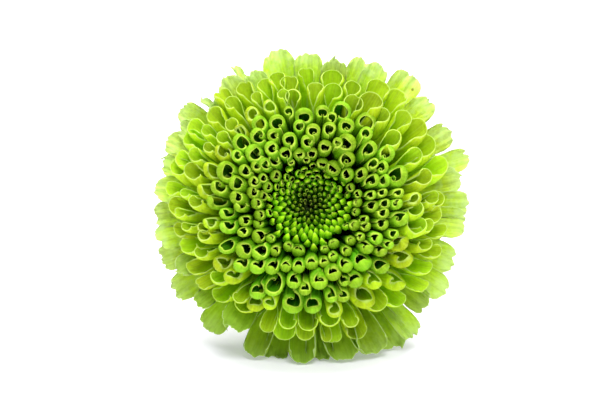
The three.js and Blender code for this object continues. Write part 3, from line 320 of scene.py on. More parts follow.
ROWS = [
    ('a', 4.0, 11.2,
     '7.6,1.43,2.46,0.86,Na 20,0.07,0.7,0.72,Na 40.1,1.01,2,0.82,Na 60.1,1.65,2.71,0.88,Na 72.5,0.47,1.39,0.77,Na 92.6,1.27,2.28,0.85,Na 125,0.82,1.78,0.8,Na 145.1,1.5,2.54,0.87,Na 157.5,0.13,1.01,0.74,Na 177.6,1.1,2.1,0.83,Na 197.6,1.72,2.78,0.89,Na 210,0.6,1.54,0.78,Na 230.1,1.35,2.37,0.85,Na 262.6,0.92,1.89,0.81,Na 282.6,1.58,2.63,0.87,Na 295,0.32,1.23,0.76,Na 315.1,1.19,2.19,0.84,Na 335.1,1.79,2.86,0.89,Na 347.5,0.71,1.66,0.79,Na'),
    ('a', 11.2, 15.9,
     '15.3,2.79,3.97,0.98,Na 27.7,1.99,3.09,0.91,Na 47.7,2.49,3.64,0.96,Na 67.8,2.96,4.15,1,Na 80.2,2.19,3.3,0.93,Na 100.2,2.67,3.84,0.97,Na 112.6,1.86,2.94,0.9,Na 132.7,2.37,3.51,0.95,Na 152.8,2.84,4.03,0.99,Na 165.2,2.06,3.16,0.92,Na 185.2,2.55,3.71,0.96,Na 217.7,2.25,3.37,0.93,Na 237.8,2.73,3.9,0.98,Na 250.2,1.93,3.01,0.9,Na 270.2,2.43,3.57,0.95,Na 290.3,2.9,4.09,0.99,Na 302.7,2.12,3.23,0.92,Na 322.7,2.61,3.77,0.97,Na 355.2,2.31,3.44,0.94,Na'),
    ('a', 15.9, 19.6,
     '2.9,3.5,4.76,1.05,Na 22.9,3.92,5.23,1.09,Na 35.3,3.23,4.46,1.02,Na 55.4,3.66,4.94,1.06,Na 87.8,3.4,4.64,1.04,Na 107.9,3.82,5.11,1.08,Na 120.3,3.12,4.34,1.01,Na 140.4,3.56,4.82,1.05,Na 160.4,3.97,5.28,1.09,Na 172.8,3.29,4.52,1.03,Na 192.9,3.71,4.99,1.07,Na 205.3,3.01,4.22,1,Na 225.4,3.45,4.7,1.04,Na 245.4,3.87,5.17,1.08,Na 257.8,3.18,4.4,1.02,Na 277.9,3.61,4.88,1.06,Na 297.9,4.03,5.34,1.09,Na 310.3,3.34,4.58,1.03,Na 330.4,3.77,5.05,1.07,Na 342.8,3.07,4.28,1.01,Na'),
    ('b', 19.6, 26.2,
     '10.5,4.58,5.96,1.15,Nb 30.6,4.98,6.39,1.18,Nb 43,4.33,5.68,1.12,Nb 63.1,4.73,6.12,1.16,Nb 75.5,4.08,5.4,1.1,Nb 83.1,5.12,6.56,1.19,Nb 95.5,4.48,5.84,1.14,Nb 115.6,4.88,6.29,1.17,Nb 128,4.23,5.57,1.11,Nb 135.6,5.27,6.72,1.21,Nb 148,4.63,6.01,1.15,Nb 168.1,5.03,6.45,1.19,Nb 180.5,4.38,5.73,1.13,Nb 200.6,4.78,6.18,1.16,Nb 213,4.13,5.45,1.1,Nb 220.6,5.17,6.61,1.2,Nb 233,4.53,5.9,1.14,Nb 253.1,4.93,6.34,1.18,Nb 265.5,4.28,5.62,1.12,Nb 273.1,5.32,6.77,1.21,Nb 285.5,4.68,6.07,1.15,Nb 305.6,5.07,6.5,1.19,Nb 318,4.43,5.79,1.13,Nb 338.1,4.83,6.23,1.17,Nb 350.5,4.18,5.51,1.11,Nb 358.1,5.22,6.67,1.2,Nb'),
    ('b', 26.2, 31.7,
     '5.8,6.23,7.79,1.3,Nb 18.2,5.61,7.1,1.24,Nb 25.9,6.62,8.21,1.33,Nb 38.3,6,7.52,1.27,Nb 50.7,5.37,6.83,1.22,Nb 58.3,6.38,7.95,1.31,Nb 70.7,5.75,7.26,1.25,Nb 90.8,6.14,7.68,1.29,Nb 103.2,5.51,6.99,1.23,Nb 110.8,6.52,8.11,1.32,Nb 123.2,5.9,7.42,1.26,Nb 143.3,6.28,7.84,1.3,Nb 155.7,5.66,7.15,1.24,Nb 175.8,6.04,7.58,1.28,Nb 188.2,5.42,6.88,1.22,Nb 195.8,6.43,8,1.31,Nb 208.2,5.8,7.31,1.26,Nb 228.3,6.19,7.74,1.29,Nb 240.7,5.56,7.04,1.23,Nb 248.3,6.57,8.16,1.33,Nb 260.7,5.95,7.47,1.27,Nb 280.8,6.33,7.9,1.3,Nb 293.2,5.71,7.2,1.25,Nb 313.3,6.09,7.63,1.28,Nb 325.7,5.46,6.94,1.23,Nb 333.3,6.47,8.05,1.32,Nb 345.7,5.85,7.36,1.26,Nb'),
    ('b', 31.7, 36.5,
     '1.1,7.86,9.59,1.44,Nb 13.5,7.24,8.9,1.39,Nb 33.5,7.62,9.32,1.42,Nb 45.9,7,8.64,1.36,Nb 66,7.38,9.06,1.4,Nb 78.4,6.76,8.37,1.34,Nb 86,7.76,9.48,1.43,Nb 98.4,7.14,8.79,1.38,Nb 118.5,7.52,9.22,1.41,Nb 130.9,6.9,8.53,1.36,Nb 151,7.28,8.95,1.39,Nb 163.4,6.66,8.27,1.33,Nb 171,7.67,9.38,1.43,Nb 183.4,7.05,8.69,1.37,Nb 191.1,8.05,9.8,1.46,Nb 203.5,7.43,9.11,1.4,Nb 215.9,6.81,8.42,1.35,Nb 223.5,7.81,9.53,1.44,Nb 235.9,7.19,8.85,1.38,Nb 268.4,6.95,8.58,1.36,Nb 276.1,7.95,9.69,1.45,Nb 288.5,7.33,9.01,1.39,Nb 300.9,6.71,8.32,1.34,Nb 320.9,7.09,8.74,1.37,Nb 328.6,8.09,9.85,1.46,Nb 341,7.47,9.16,1.41,Nb 353.4,6.86,8.48,1.35,Nb'),
    ('c', 36.5, 42.7,
     '2,9.61,11.63,1.57,Nb 14,8.94,12.07,1.68,Nh 24,8.94,10.96,1.79,Nh 37,9.17,12.3,2.68,Nh 57,8.94,11.63,2.68,Nb 72,8.94,11.18,2.01,Nb 86,10.06,12.97,2.24,Nh 93,8.94,11.18,1.57,Nh 101.5,9.39,12.97,2.01,Nb 112,8.94,11.18,1.45,Nh 141,8.94,11.18,2.01,Nb 149.5,9.39,12.97,1.9,Rq 157,8.94,11.18,1.79,Nb 167.5,9.17,11.63,1.79,Nb 179.5,9.84,12.75,2.01,Nb 191.5,9.61,12.3,1.9,Nb 201,9.39,12.97,1.79,Nb 221.5,9.61,12.07,1.57,Nb 242,8.94,11.18,1.79,Nb 257,8.94,11.63,2.24,Nb 289,8.94,11.18,1.57,Nb 303,8.94,11.18,1.79,Nb 335,9.61,12.07,1.9,Nb 351.5,9.39,11.4,1.45,Nb'),
    ('c', 42.7, 48.2,
     '9,11.63,14.98,1.9,Rq 29,11.18,14.76,2.46,Nh 49,11.4,14.98,3.13,Rq 76.5,12.3,14.98,2.57,Nb 92.5,12.3,15.65,2.57,Rq 115.5,10.96,14.09,2.46,Lq 128,9.39,14.09,2.68,No 136,11.63,14.76,2.35,Rh 144.5,12.52,15.65,2.01,Rh 157,11.18,14.53,2.24,Rq 168,11.63,14.09,2.57,Rq 212,10.51,14.53,2.91,Lq 233,9.84,13.64,2.24,Nq 250,10.96,15.43,2.35,Lq 261,11.18,14.98,2.68,Nh 273,10.29,14.09,2.68,Nb 284.5,11.18,14.09,2.01,Nb 296,10.29,13.42,1.79,Nb 309,10.96,14.09,2.12,Nh 318,10.51,12.97,1.79,Nb 329,11.18,14.31,1.79,Nq 338,11.85,14.31,2.01,Rq 346,11.18,13.64,1.9,Nq 356.5,11.63,15.2,2.46,Rq'),
    ('c', 48.2, 53.3,
     '1,15.2,17.89,2.01,Rq 9,15.2,17.44,1.79,Nq 20,12.75,16.55,2.68,Rq 33,14.76,18.11,2.24,Ro 56,13.86,17.89,3.8,Rh 66,12.3,16.32,2.01,Lq 86,15.2,18.11,2.91,Nq 107,12.75,16.77,2.91,Lq 124.5,13.86,16.55,2.91,Rq 138,15.65,18.56,3.8,Rq 151.5,13.42,17.44,2.35,Rq 163,15.2,18.34,3.13,Nq 175.5,14.09,17.44,2.79,Rq 183.5,12.52,16.32,2.35,Lq 194,12.52,15.88,2.35,Nq 203.5,13.42,16.77,2.12,Nq 225,12.52,16.77,3.35,Rq 240,12.97,17.44,2.91,Nh 289,13.86,17.44,3.02,Nb 300.5,12.75,16.99,2.91,Nq 322,13.64,16.99,2.68,Rq 333,14.31,17.89,2.57,Rq 343.5,13.86,17.89,2.46,Rq 353.5,14.76,17.66,2.12,Lq'),
    ('c', 53.3, 58.1,
     '7,17.89,21.02,2.01,Rq 17,15.65,18.78,2.68,Lq 26.5,17.66,19.45,2.68,Rq 43,16.1,19.9,3.13,Rh 65.5,18.34,21.02,3.13,Rh 75,15.65,19.01,2.68,Rq 98,16.1,19.01,2.46,Rq 117.5,16.1,18.78,2.57,Rq 128,17.89,20.57,3.24,Rq 147,17.89,20.35,2.35,Rq 187.5,15.65,19.68,2.46,Rq 197,17.22,20.12,3.13,Rq 214.5,15.88,19.23,3.35,Nb 231.5,15.65,19.23,3.35,Rq 258.5,14.98,18.56,2.91,Lq 267,16.99,19.68,2.46,Rh 277,15.43,18.56,3.13,Lb 294.5,16.99,19.45,2.01,Nq 301,17.89,21.02,3.35,Rq 310.5,15.43,19.01,4.02,Nh 325.5,16.99,19.9,2.57,Rq 333,18.34,20.57,1.9,Nq 341,17.44,20.79,2.01,Lq 358.5,17.89,20.35,2.24,Lq'),
    ('c', 58.1, 62.8,
     '15,19.45,22.58,4.47,Rq 31,19.68,22.14,3.35,Rq 49.5,19.01,21.47,2.68,Rq 55.5,20.57,24.15,4.25,Nq 69.5,21.24,23.93,4.02,Nq 75,19.01,21.24,2.01,Nq 82,19.68,22.36,2.91,Nh 93,18.56,21.69,3.8,Nh 103,20.12,22.36,2.01,Lq 110.5,18.34,21.24,3.35,Rq 123,20.12,22.47,3.35,Nh 139.5,19.23,22.02,3.8,Nq 160,17.89,21.69,4.25,Nh 171.5,18.34,21.69,3.13,Rq 180.5,17.89,22.36,3.13,Rq 210,17.44,21.91,3.58,No 224,18.11,21.47,3.35,Rq 241,19.68,23.7,3.58,Nq 248.5,16.55,21.69,4.47,No 260,20.35,24.15,4.7,Nq 273.5,19.68,23.7,3.8,Nq 283,17.89,21.91,2.68,Rq 289.5,19.68,22.58,2.68,Nq 318.5,19.68,22.58,3.35,Nh 348.5,18.78,21.91,3.24,Rq'),
    ('d', 62.8, 67.6,
     '1.5,21.69,24.82,2.91,Nq 34.5,21.24,24.82,4.02,Ns 113.5,21.69,24.71,2.91,Nq 124,22.58,24.93,3.35,Rq 133,21.47,23.7,2.46,Nq 144.5,22.58,25.15,2.91,Ns 151.5,21.02,23.7,3.58,Lq 162.5,22.14,24.48,3.8,Nq 175.5,21.91,24.48,4.02,Nq 191.5,20.57,23.7,2.68,Nq 196.5,21.91,24.93,2.68,Ns 201.5,21.91,25.27,3.13,Ls 215,21.91,25.27,4.02,Nh 225.5,21.69,24.82,4.02,Rh 248.5,22.14,24.82,3.13,Rq 284.5,22.81,25.49,3.58,Nq 308.5,21.69,23.81,3.58,Nq 335,21.24,23.48,4.02,Nq 352.5,21.91,25.15,3.58,Ls'),
    ('d', 67.6, 72.3,
     '7,21.24,27.28,4.25,Ns 20.5,22.36,27.06,4.25,Ns 47,21.91,26.38,3.8,Rs 65,23.25,26.38,4.47,Rs 76,22.81,27.73,4.47,Ns 85.5,22.36,27.73,3.8,Ns 97.5,22.14,26.38,3.58,Ls 104,23.25,26.5,2.68,Rs 116.5,24.15,27.73,2.68,Ns 135.5,23.03,25.71,3.13,Ns 153.5,23.25,26.16,2.68,Ns 184,22.36,25.71,3.35,Rs 208,23.25,27.5,3.35,Ns 234.5,23.25,27.73,3.35,Ns 244,23.48,26.5,4.47,Nh 297.5,22.36,26.27,5.37,Nh 316,24.6,27.73,4.47,Nh 327.5,22.36,26.16,4.47,Rh 341,21.69,25.71,4.47,Ns'),
    ('d', 72.3, 76.8,
     '39.5,25.04,29.52,4.02,Ne 54,23.25,28.06,5.81,Ns 67.5,25.71,29.29,4.02,Ns 99.5,25.04,29.52,3.8,Ne 130,24.15,29.29,3.58,Ns 147,25.04,28.62,2.91,Ns 160,24.15,28.51,3.35,Ns 170.5,23.25,27.84,4.47,Ns 178.5,24.15,28.29,2.68,Ns 187.5,25.04,29.52,2.91,Ns 193,25.04,28.4,2.46,Ns 222,24.15,28.06,4.02,Ns 260.5,23.7,28.4,4.02,Ns 270,23.25,28.06,4.47,Ns 280,23.7,28.17,4.92,Ns 289,23.7,29.52,3.58,Ns 336,24.15,28.4,3.35,Ns 344,24.15,28.06,3.8,Rs 358,25.04,28.4,3.58,Ns'),
    ('d', 76.8, 81.3,
     '20,25.04,30.19,5.37,Ne 29,25.04,30.41,5.37,Ne 79,25.94,31.08,4.92,Ne 92.5,25.94,31.08,3.35,Ne 105.5,25.49,30.63,3.8,Ne 111,25.04,29.74,3.58,Ne 121.5,25.49,30.74,4.02,Ne 140.5,24.6,29.74,4.25,Ne 155.5,25.94,31.08,4.47,Ne 195,25.94,31.08,3.8,Ne 204.5,25.04,30.19,4.25,Ne 229,25.04,30.86,4.47,Ne 239,24.15,29.52,4.7,Ne 252,25.04,30.63,3.35,Ne 269.5,25.04,30.41,4.02,Ne 276.5,27.28,30.97,2.46,Ns 302,25.49,29.85,5.37,Ns 350.5,25.04,29.74,3.8,Ne 357,24.6,29.74,3.8,Ne'),
    ('d', 81.3, 85.7,
     '10,25.49,31.3,4.92,Ne 47,26.83,31.97,4.92,Ne 57.5,26.83,31.75,4.92,Ne 131.5,25.94,31.97,4.02,Ne 148.5,25.94,31.75,4.02,Ne 163.5,25.94,31.08,3.8,Ne 171,26.38,31.3,5.37,Ne 179,26.38,31.75,4.02,Ne 186.5,26.38,31.53,4.92,Ne 211.5,25.94,31.53,3.8,Ne 219,26.38,31.53,3.35,Ne 260,25.49,31.53,4.92,Ne 279,25.04,31.75,4.02,Ne 289,27.28,33.09,4.92,Ne 309.5,25.94,31.75,4.47,Ne 322,27.28,33.09,3.35,Ne 328.5,25.94,31.75,3.8,Ne 336.5,26.38,31.97,3.35,Ne 345.5,25.94,31.53,3.35,Ne'),
]
OUTER = '1,35.51,6 11,34.15,5.37 17.2,37.12,5.1 27.6,35.6,5.9 40.8,35.79,5.2 51.1,37.31,7.3 64,35.23,5.81 70.5,34.82,4.9 80,33.13,5.37 90,33.94,6.04 101.5,35.47,6.71 113.5,32.37,5.37 123.2,34.0,6.4 132.5,31.56,4.47 142.5,35.69,5.4 148,33.91,4.92 155.5,35.03,5.37 163,33.86,4.92 173.5,34.36,5.81 183.5,34.32,5.37 191.5,34.85,6.26 199.5,34.99,5.37 206,32.36,4.92 213.5,35.64,6.26 221,33.04,4.47 231,35.58,6.26 237,31.61,5.81 250.2,35.20,4.8 256.8,35.00,5.4 268,35.20,5.4 275,34.00,5.4 283.2,36.20,6.8 292.2,36.00,6.2 302.4,37.10,6.6 308.8,37.06,4.9 320,34.33,5.37 328,35.97,6.04 339.6,34.95,6.95 353,34.94,6.04'
# ------------------------------------------------------------------ forms of floret
def lut(table, x):
    return float(np.interp(x, table[:, 0], table[:, 1]))


def smooth_noise(seed, n=7):
    """A repeatable smooth curve of x in -1..1."""
    a = np.array([sym(seed, k, 5.5) for k in range(n)])
    b = np.array([sym(seed, k, 8.5) for k in range(n)]) * math.pi
    return lambda x: sum(a[k] * np.sin((k + 1) * 1.7 * x + b[k]) / (1 + 0.35 * k) for k in range(n)) / 2.2


def scaled(segs, k):
    return [(l * k, t) for l, t in segs]


def quill(code, az, rin, rout, w, alpha, seed, row):
    """A rolled floret: a tube with an oblique mouth, its tip bent in over the mouth."""
    side, form = code
    d = rout - rin
    dirn = lut(TIP_DIR, rout)
    delta = math.radians(max(4.0, dirn))
    k1, k2, k3, k4 = (rnd(seed, k) for k in (2, 3, 4, 5))
    f = dict(alpha=alpha, theta=math.radians(az), dir=dirn, seed=rnd(seed, 1), rz=rout / 37.0, w=w)
    f['sway'] = 0.04 * sym(seed, 6)
    f['wob'] = 0.012 * sym(seed, 7)
    grow = {'b': 1.24, 'h': 1.12, 'q': 1.08, 'o': 0.98, 's': 0.98}[form]
    if row == 6 and form == 'b':
        grow = 1.36
    w = w * (grow if row < 11 else min(grow, 1.02))
    rin = rout - d * (1.12 if row < 11 else 1.0)
    d = rout - rin
    up = math.sin(math.radians(az))               # the tips of the lower half are bent in further
    lean = 1 - 0.36 * up
    hw = 0.5 * w
    asp = min(1.7, max(0.9, d / w))
    if form == 'q':
        D, lip, ha = (1.06 + 0.10 * k1) * w, 0.62 + 0.14 * k4, (80 + 38 * k3) * (1 - 0.26 * up + 0.14 * max(0.0, up) + 0.10 * (1 - abs(up)))
        lo_cut, hi_cut = 0.85, (1.2 if row < 10 else 1.5)
    elif form == 'o':
        D, lip, ha = 1.05 * w, 0.74, (54 + 26 * k3) * (1 - 0.3 * up + 0.16 * max(0.0, up))
        lo_cut, hi_cut = 0.8, 1.3
    elif form == 'h':
        D, lip, ha = (1.02 + 0.08 * k1) * w, 0.60 + 0.10 * k4, (94 + 24 * k3) * (1 - 0.22 * up + 0.10 * max(0.0, up))
        lo_cut, hi_cut = 1.05, 1.4
    else:
        D, lip, ha = 1.0 * w, 0.54 + 0.12 * k4, (104 + 20 * k3) * (1 - 0.12 * up)
        lo_cut, hi_cut = 1.2, 1.55
    spread = 0.985 if k1 < 0.45 or side != 'N' else 0.95
    hook_len = math.radians(ha) * 0.5 * w
    t = (np.arange(24) + 0.5) / 24
    ang_t = np.radians(dirn) - np.radians(ha) * t ** 1.25
    ext_r = max(0.0, float(np.max(np.cumsum(np.sin(ang_t)))) * hook_len / 24)
    ext_z = max(0.0, float(np.max(np.cumsum(np.cos(ang_t)))) * hook_len / 24)
    f['r'] = rout - ext_r - 0.05
    f['z'] = lut(PROFILE, rout) + 0.55 * sym(seed, 9) - 0.75 * ext_z
    f['hook_len'], f['hook'] = hook_len, ha
    s_, p_, a_ = midrib(alpha, f['r'], f['z'], dirn, hook_len, ha)
    reach = p_[:, 0] - D * np.cos(a_)
    ok = np.where((s_ < s_[-1] - 0.5 * w) & (reach <= rin))[0]
    cut = s_[-1] - (s_[ok[-1]] if len(ok) else s_[-1] - 1.4 * w)
    cut = min(hook_len + 0.62 * w, max(hook_len + (0.12 + 0.1 * k2) * w, cut)) * (1 - (0.07 + 0.15 * max(0.0, up)) * (row < 11))
    dr = teardrop(max(1.02, D / w))
    drop = scaled(dr, hw)
    total = sum(l for l, _ in drop)
    roll_in = [(drop[0][0] * 0.90, drop[0][1] * 0.98), (total * (0.20 + 0.06 * k4), 90 + 40 * k1), (total * 0.30, 150 + 60 * k2)]
    roll_over = [(drop[0][0] * 1.03, drop[0][1]), (total * (0.19 + 0.08 * k3), 34 + 30 * k3), (total * 0.06, 20)]
    tuck = [(drop[0][0] * 0.95, drop[0][1]), (total * 0.22, 95 + 45 * k1), (total * 0.06, 20)]
    drop = [(drop[0][0] * 0.99, drop[0][1]), (total * (0.10 + 0.10 * k2), 30 + 60 * k2 * k2), (total * 0.05, 15)]
    if side == 'R':
        A = {1: roll_over, -1: roll_in}
    elif side == 'L':
        A = {1: roll_in, -1: roll_over}
    elif form in 'hb':
        A = {1: tuck, -1: tuck}
    elif k4 < 0.30 and form in 'qo':
        A = {1: roll_over, -1: roll_in} if k3 < 0.5 else {1: roll_in, -1: roll_over}
    elif k4 < 0.70 and form in 'qo':
        A = {1: tuck, -1: drop} if k3 < 0.5 else {1: drop, -1: tuck}
    else:
        A = {1: drop, -1: drop}
    f['secA'] = A
    f['secB'] = {k: [(l, t * spread) for l, t in v] for k, v in A.items()}
    f['cut'] = {1: cut * (1 + 0.26 * sym(seed, 12)), -1: cut * (1 + 0.26 * sym(seed, 13))}
    f['open_mm'] = cut + 0.2 * w
    nz, nn = smooth_noise(seed + 31), 0.5 * sym(seed, 14)

    def bite(x):
        return w * (0.05 * (1 + nz(x * 2.0)) + (0.16 * k2 * np.exp(-((x - nn) / 0.11) ** 2) if k4 > 0.55 else 0.0))

    f['teeth'] = bite
    f['rho'] = ([0, 0.12, 0.4, 1.2], [0.35, 0.62, 1.0, 1.0])
    f['bulb'] = ([0, 2.0, 3.5, 6], [1.0, 0.96, 0.78, 0.62])
    x0 = 0.28
    f['pinch'] = ([x0 * k / 8 for k in range(9)] + [2.0], [lip + (1 - lip) * math.sqrt(1 - (1 - k / 8) ** 2) for k in range(9)] + [1.0])
    f['mid'] = 0.5 * D
    f['thick'] = ((0.24, 0.12) if row < 10 else (0.21, 0.11)) if w > 2 else (0.18, 0.10)
    f['twist'] = math.radians(22 * sym(seed, 15) - (16 + 3.0 * (row - 6)) * math.cos(math.radians(az)))
    f['lift'] = (0.10 + 0.04 * (row - 6)) * abs(math.cos(math.radians(az)))
    f['nh'] = 10
    f['rows'] = (5, 15)
    return f


def small(code, az, rin, rout, w, alpha, seed, row):
    """A young floret of the centre: a slender hooded blade that leans in over the centre."""
    k1, k2, k3 = (rnd(seed, k) for k in (2, 3, 4))
    up = math.sin(math.radians(az))
    w = w * (0.98 if row < 3 else 1.22) * (0.9 + 0.2 * rnd(seed, 22))
    dirn = float(np.interp(rout, [0, 2, 4.5, 7, 8.9, 11], [-10, -26, -34, -28, -18, -8])) + 14 * sym(seed, 21) + 8 * up
    f = dict(alpha=alpha, theta=math.radians(az), dir=dirn, seed=rnd(seed, 1), rz=rout / 37.0, w=w)
    hw = 0.5 * w
    dr = scaled(teardrop(1.5), hw)
    total = sum(l for l, _ in dr)
    tuck = [(dr[0][0] * 0.97, dr[0][1]), (total * 0.16, 80 + 40 * k2), (total * 0.05, 30)]
    f['secA'] = {1: tuck, -1: tuck}
    if row < 3:
        hook, cut = (0.45 + 0.2 * k1, 20 + 30 * k2), w * (1.5 + 0.7 * k3)
        f['bulb'] = ([0, 0.4, 1.0, 2.0, 4.0], [0.42, 0.74, 1.0, 0.92, 0.7])
    else:
        hook, cut = (0.6 + 0.25 * k1, (30 + 40 * k2) * (1 - 0.4 * up)), w * (1.6 + 0.7 * k3)
        f['bulb'] = ([0, 0.3, 0.8, 1.8, 4.0], [0.66, 0.88, 1.0, 0.96, 0.72])
    spread = 0.94 if row < 3 else 0.86 + 0.08 * k1
    f['secB'] = {k: [(l, t * spread) for l, t in v] for k, v in f['secA'].items()}
    f['cut'] = {1: cut * (1 + 0.3 * sym(seed, 12)), -1: cut * (1 + 0.3 * sym(seed, 13))}
    f['hook_len'], f['hook'] = hook[0] * w, hook[1]
    f['open_mm'] = cut
    f['r'] = rout + 0.25 * sym(seed, 23) * (0.5 if row < 3 else 1.0)
    f['z'] = lut(PROFILE, rout) + (0.5 if row < 3 else 0.8) * sym(seed, 9) - 0.2 * w
    f['rho'] = ([0, 0.3, 1.2], [0.5, 1.0, 1.0])
    f['thick'] = (0.15, 0.10)
    f['mid'] = 0.6 * w
    f['pinch'] = ([0, 0.12, 0.3, 0.6, 1.0], [0.74, 0.88, 0.96, 1.0, 1.0])
    f['twist'] = math.radians(40 * sym(seed, 15) - 30 * math.cos(math.radians(az)))
    f['sway'] = 0.10 * sym(seed, 6)
    f['lift'] = 0.25 - 0.1 * up
    f['nh'], f['rows'] = (6, (3, 9)) if row < 3 else (7, (4, 11))
    return f


def spoon(az, rin, rout, w, alpha, seed, row):
    """A spoon floret: a rolled tube whose margins part in a V and open into a cupped blade."""
    k1, k2, k3, k4 = (rnd(seed, k) for k in (2, 3, 4, 5))
    up = math.sin(math.radians(az))
    n = row - 11
    dirn = lut(TIP_DIR, rout) + 9 * sym(seed, 19) + 5 * up
    hw = 0.5 * w
    low = max(0.0, -up)
    phi = [148, 140, 130, 120, 108][n] + 12 * sym(seed, 3) - 26 * low
    wide = min(90.0, phi)
    R = hw / math.sin(math.radians(wide))
    arc = R * math.radians(phi)
    tube_w = hw * [0.82, 0.78, 0.74, 0.68, 0.64][n]
    asp = 1.14
    tube = scaled(teardrop(asp), tube_w)
    ha = max(4.0, [60, 54, 42, 34, 26][n] * (1 - 0.60 * up) * (1 - (0.16 + 0.06 * n) * low) + 16 * sym(seed, 20))
    hook_len = (0.62 + 0.2 * k2) * w
    # where the bent tip ends up, so that the outermost point keeps its place
    t = (np.arange(24) + 0.5) / 24
    a = np.radians(dirn) - np.radians(ha) * t ** 1.25
    ext_r = max(0.0, float(np.max(np.cumsum(np.sin(a)))) * hook_len / 24)
    ext_z = max(0.0, float(np.max(np.cumsum(np.cos(a)))) * hook_len / 24)
    f = dict(alpha=alpha, theta=math.radians(az), dir=dirn, seed=rnd(seed, 1), rz=rout / 37.0, w=w)
    f['r'], f['z'] = rout - ext_r, lut(PROFILE, rout) + 0.9 * sym(seed, 9) - 0.7 * ext_z
    f['hook_len'], f['hook'] = hook_len, ha
    s, p, ang = midrib(alpha, f['r'], f['z'], dirn, hook_len, ha)
    reach = p[:, 0] - 2 * asp * tube_w * np.cos(ang)
    ok = np.where((s < s[-1] - 0.6 * w) & (reach <= rin))[0]
    c = s[-1] - (s[ok[-1]] if len(ok) else s[-1] - 2.0 * w)
    side = abs(math.cos(math.radians(az)))
    c = min((2.1 + 0.9 * k2) * w, max((0.9 + 1.1 * low + 0.5 * side) * w, 1.12 * c))
    f['gape'] = (c, 0.62 + 0.2 * k3 - 0.16 * low)
    f['secA'] = {1: tube, -1: tube}
    f['secB'] = {}
    for sd in (1, -1):                             # a margin may curl on inward
        roll = rnd(seed, 33 + sd)
        curl = (110 if n < 4 else 70) * max(0.0, roll - 0.35) / 0.65
        f['secB'][sd] = [(arc * 0.5, phi * 0.5), (arc * 0.34, phi * 0.34), (arc * (0.16 + 0.12 * roll), phi * 0.16 + curl)]
    cm = w * (0.22 + 0.36 * math.sin(math.radians(max(0.0, dirn))))
    f['strap'], f['blunt'] = True, 2.0 + 0.5 * k1
    f['cut'] = {1: cm * (1 + 0.2 * sym(seed, 12)), -1: cm * (1 + 0.2 * sym(seed, 13))}
    f['ua_mm'] = c + 0.7 * w
    f['rho'] = ([0, 0.15, 0.5, 1.2], [0.40, 0.62, 1.0, 1.0])
    f['bulb'] = ([0, 1.4, 2.2, 3.5, 6], [1.0, 1.0, 0.94, 0.8, 0.66])
    nz, n1 = smooth_noise(seed + 31), smooth_noise(seed + 11)

    def bite(x):
        return 0.035 * w * (1 + nz(x * 1.8)) + 0.10 * w * np.exp(-((x - 0.5 * sym(seed, 14)) / 0.10) ** 2) * (k1 > 0.6)

    f['teeth'] = bite

    def wave(P, u, cols, N, T, edge):
        e = np.abs(cols)[None, :]
        k = np.clip((u - 0.5) / 0.5, 0, 1.1)
        ruffle = w * (0.062 + 0.026 * n) * k * e ** 2 * n1(u * 9.0 + 2.5 * np.sign(cols)[None, :])
        pleat = 0.006 * w * k * np.cos(math.pi * 3.5 * cols + 6 * k3)[None, :]
        return P + N * (ruffle + pleat)[..., None]

    f['wave'] = wave
    f['thick'] = (0.20, 0.10)
    li, x0 = 0.84 + 0.10 * k1, 0.26
    f['pinch'] = ([x0 * k / 8 for k in range(9)] + [2.0], [li + (1 - li) * math.sqrt(1 - (1 - k / 8) ** 2) for k in range(9)] + [1.0])
    f['mid'] = 0.6 * w
    f['twist'] = math.radians(20 * sym(seed, 15) - 44 * math.cos(math.radians(az)))
    f['lift'] = 0.5 * abs(math.cos(math.radians(az))) - 0.1 * up
    f['sway'] = 0.05 * sym(seed, 6)
    f['wob'] = 0.012 * sym(seed, 7)
    f['nh'], f['rows'] = 11, (5, 17)
    return f


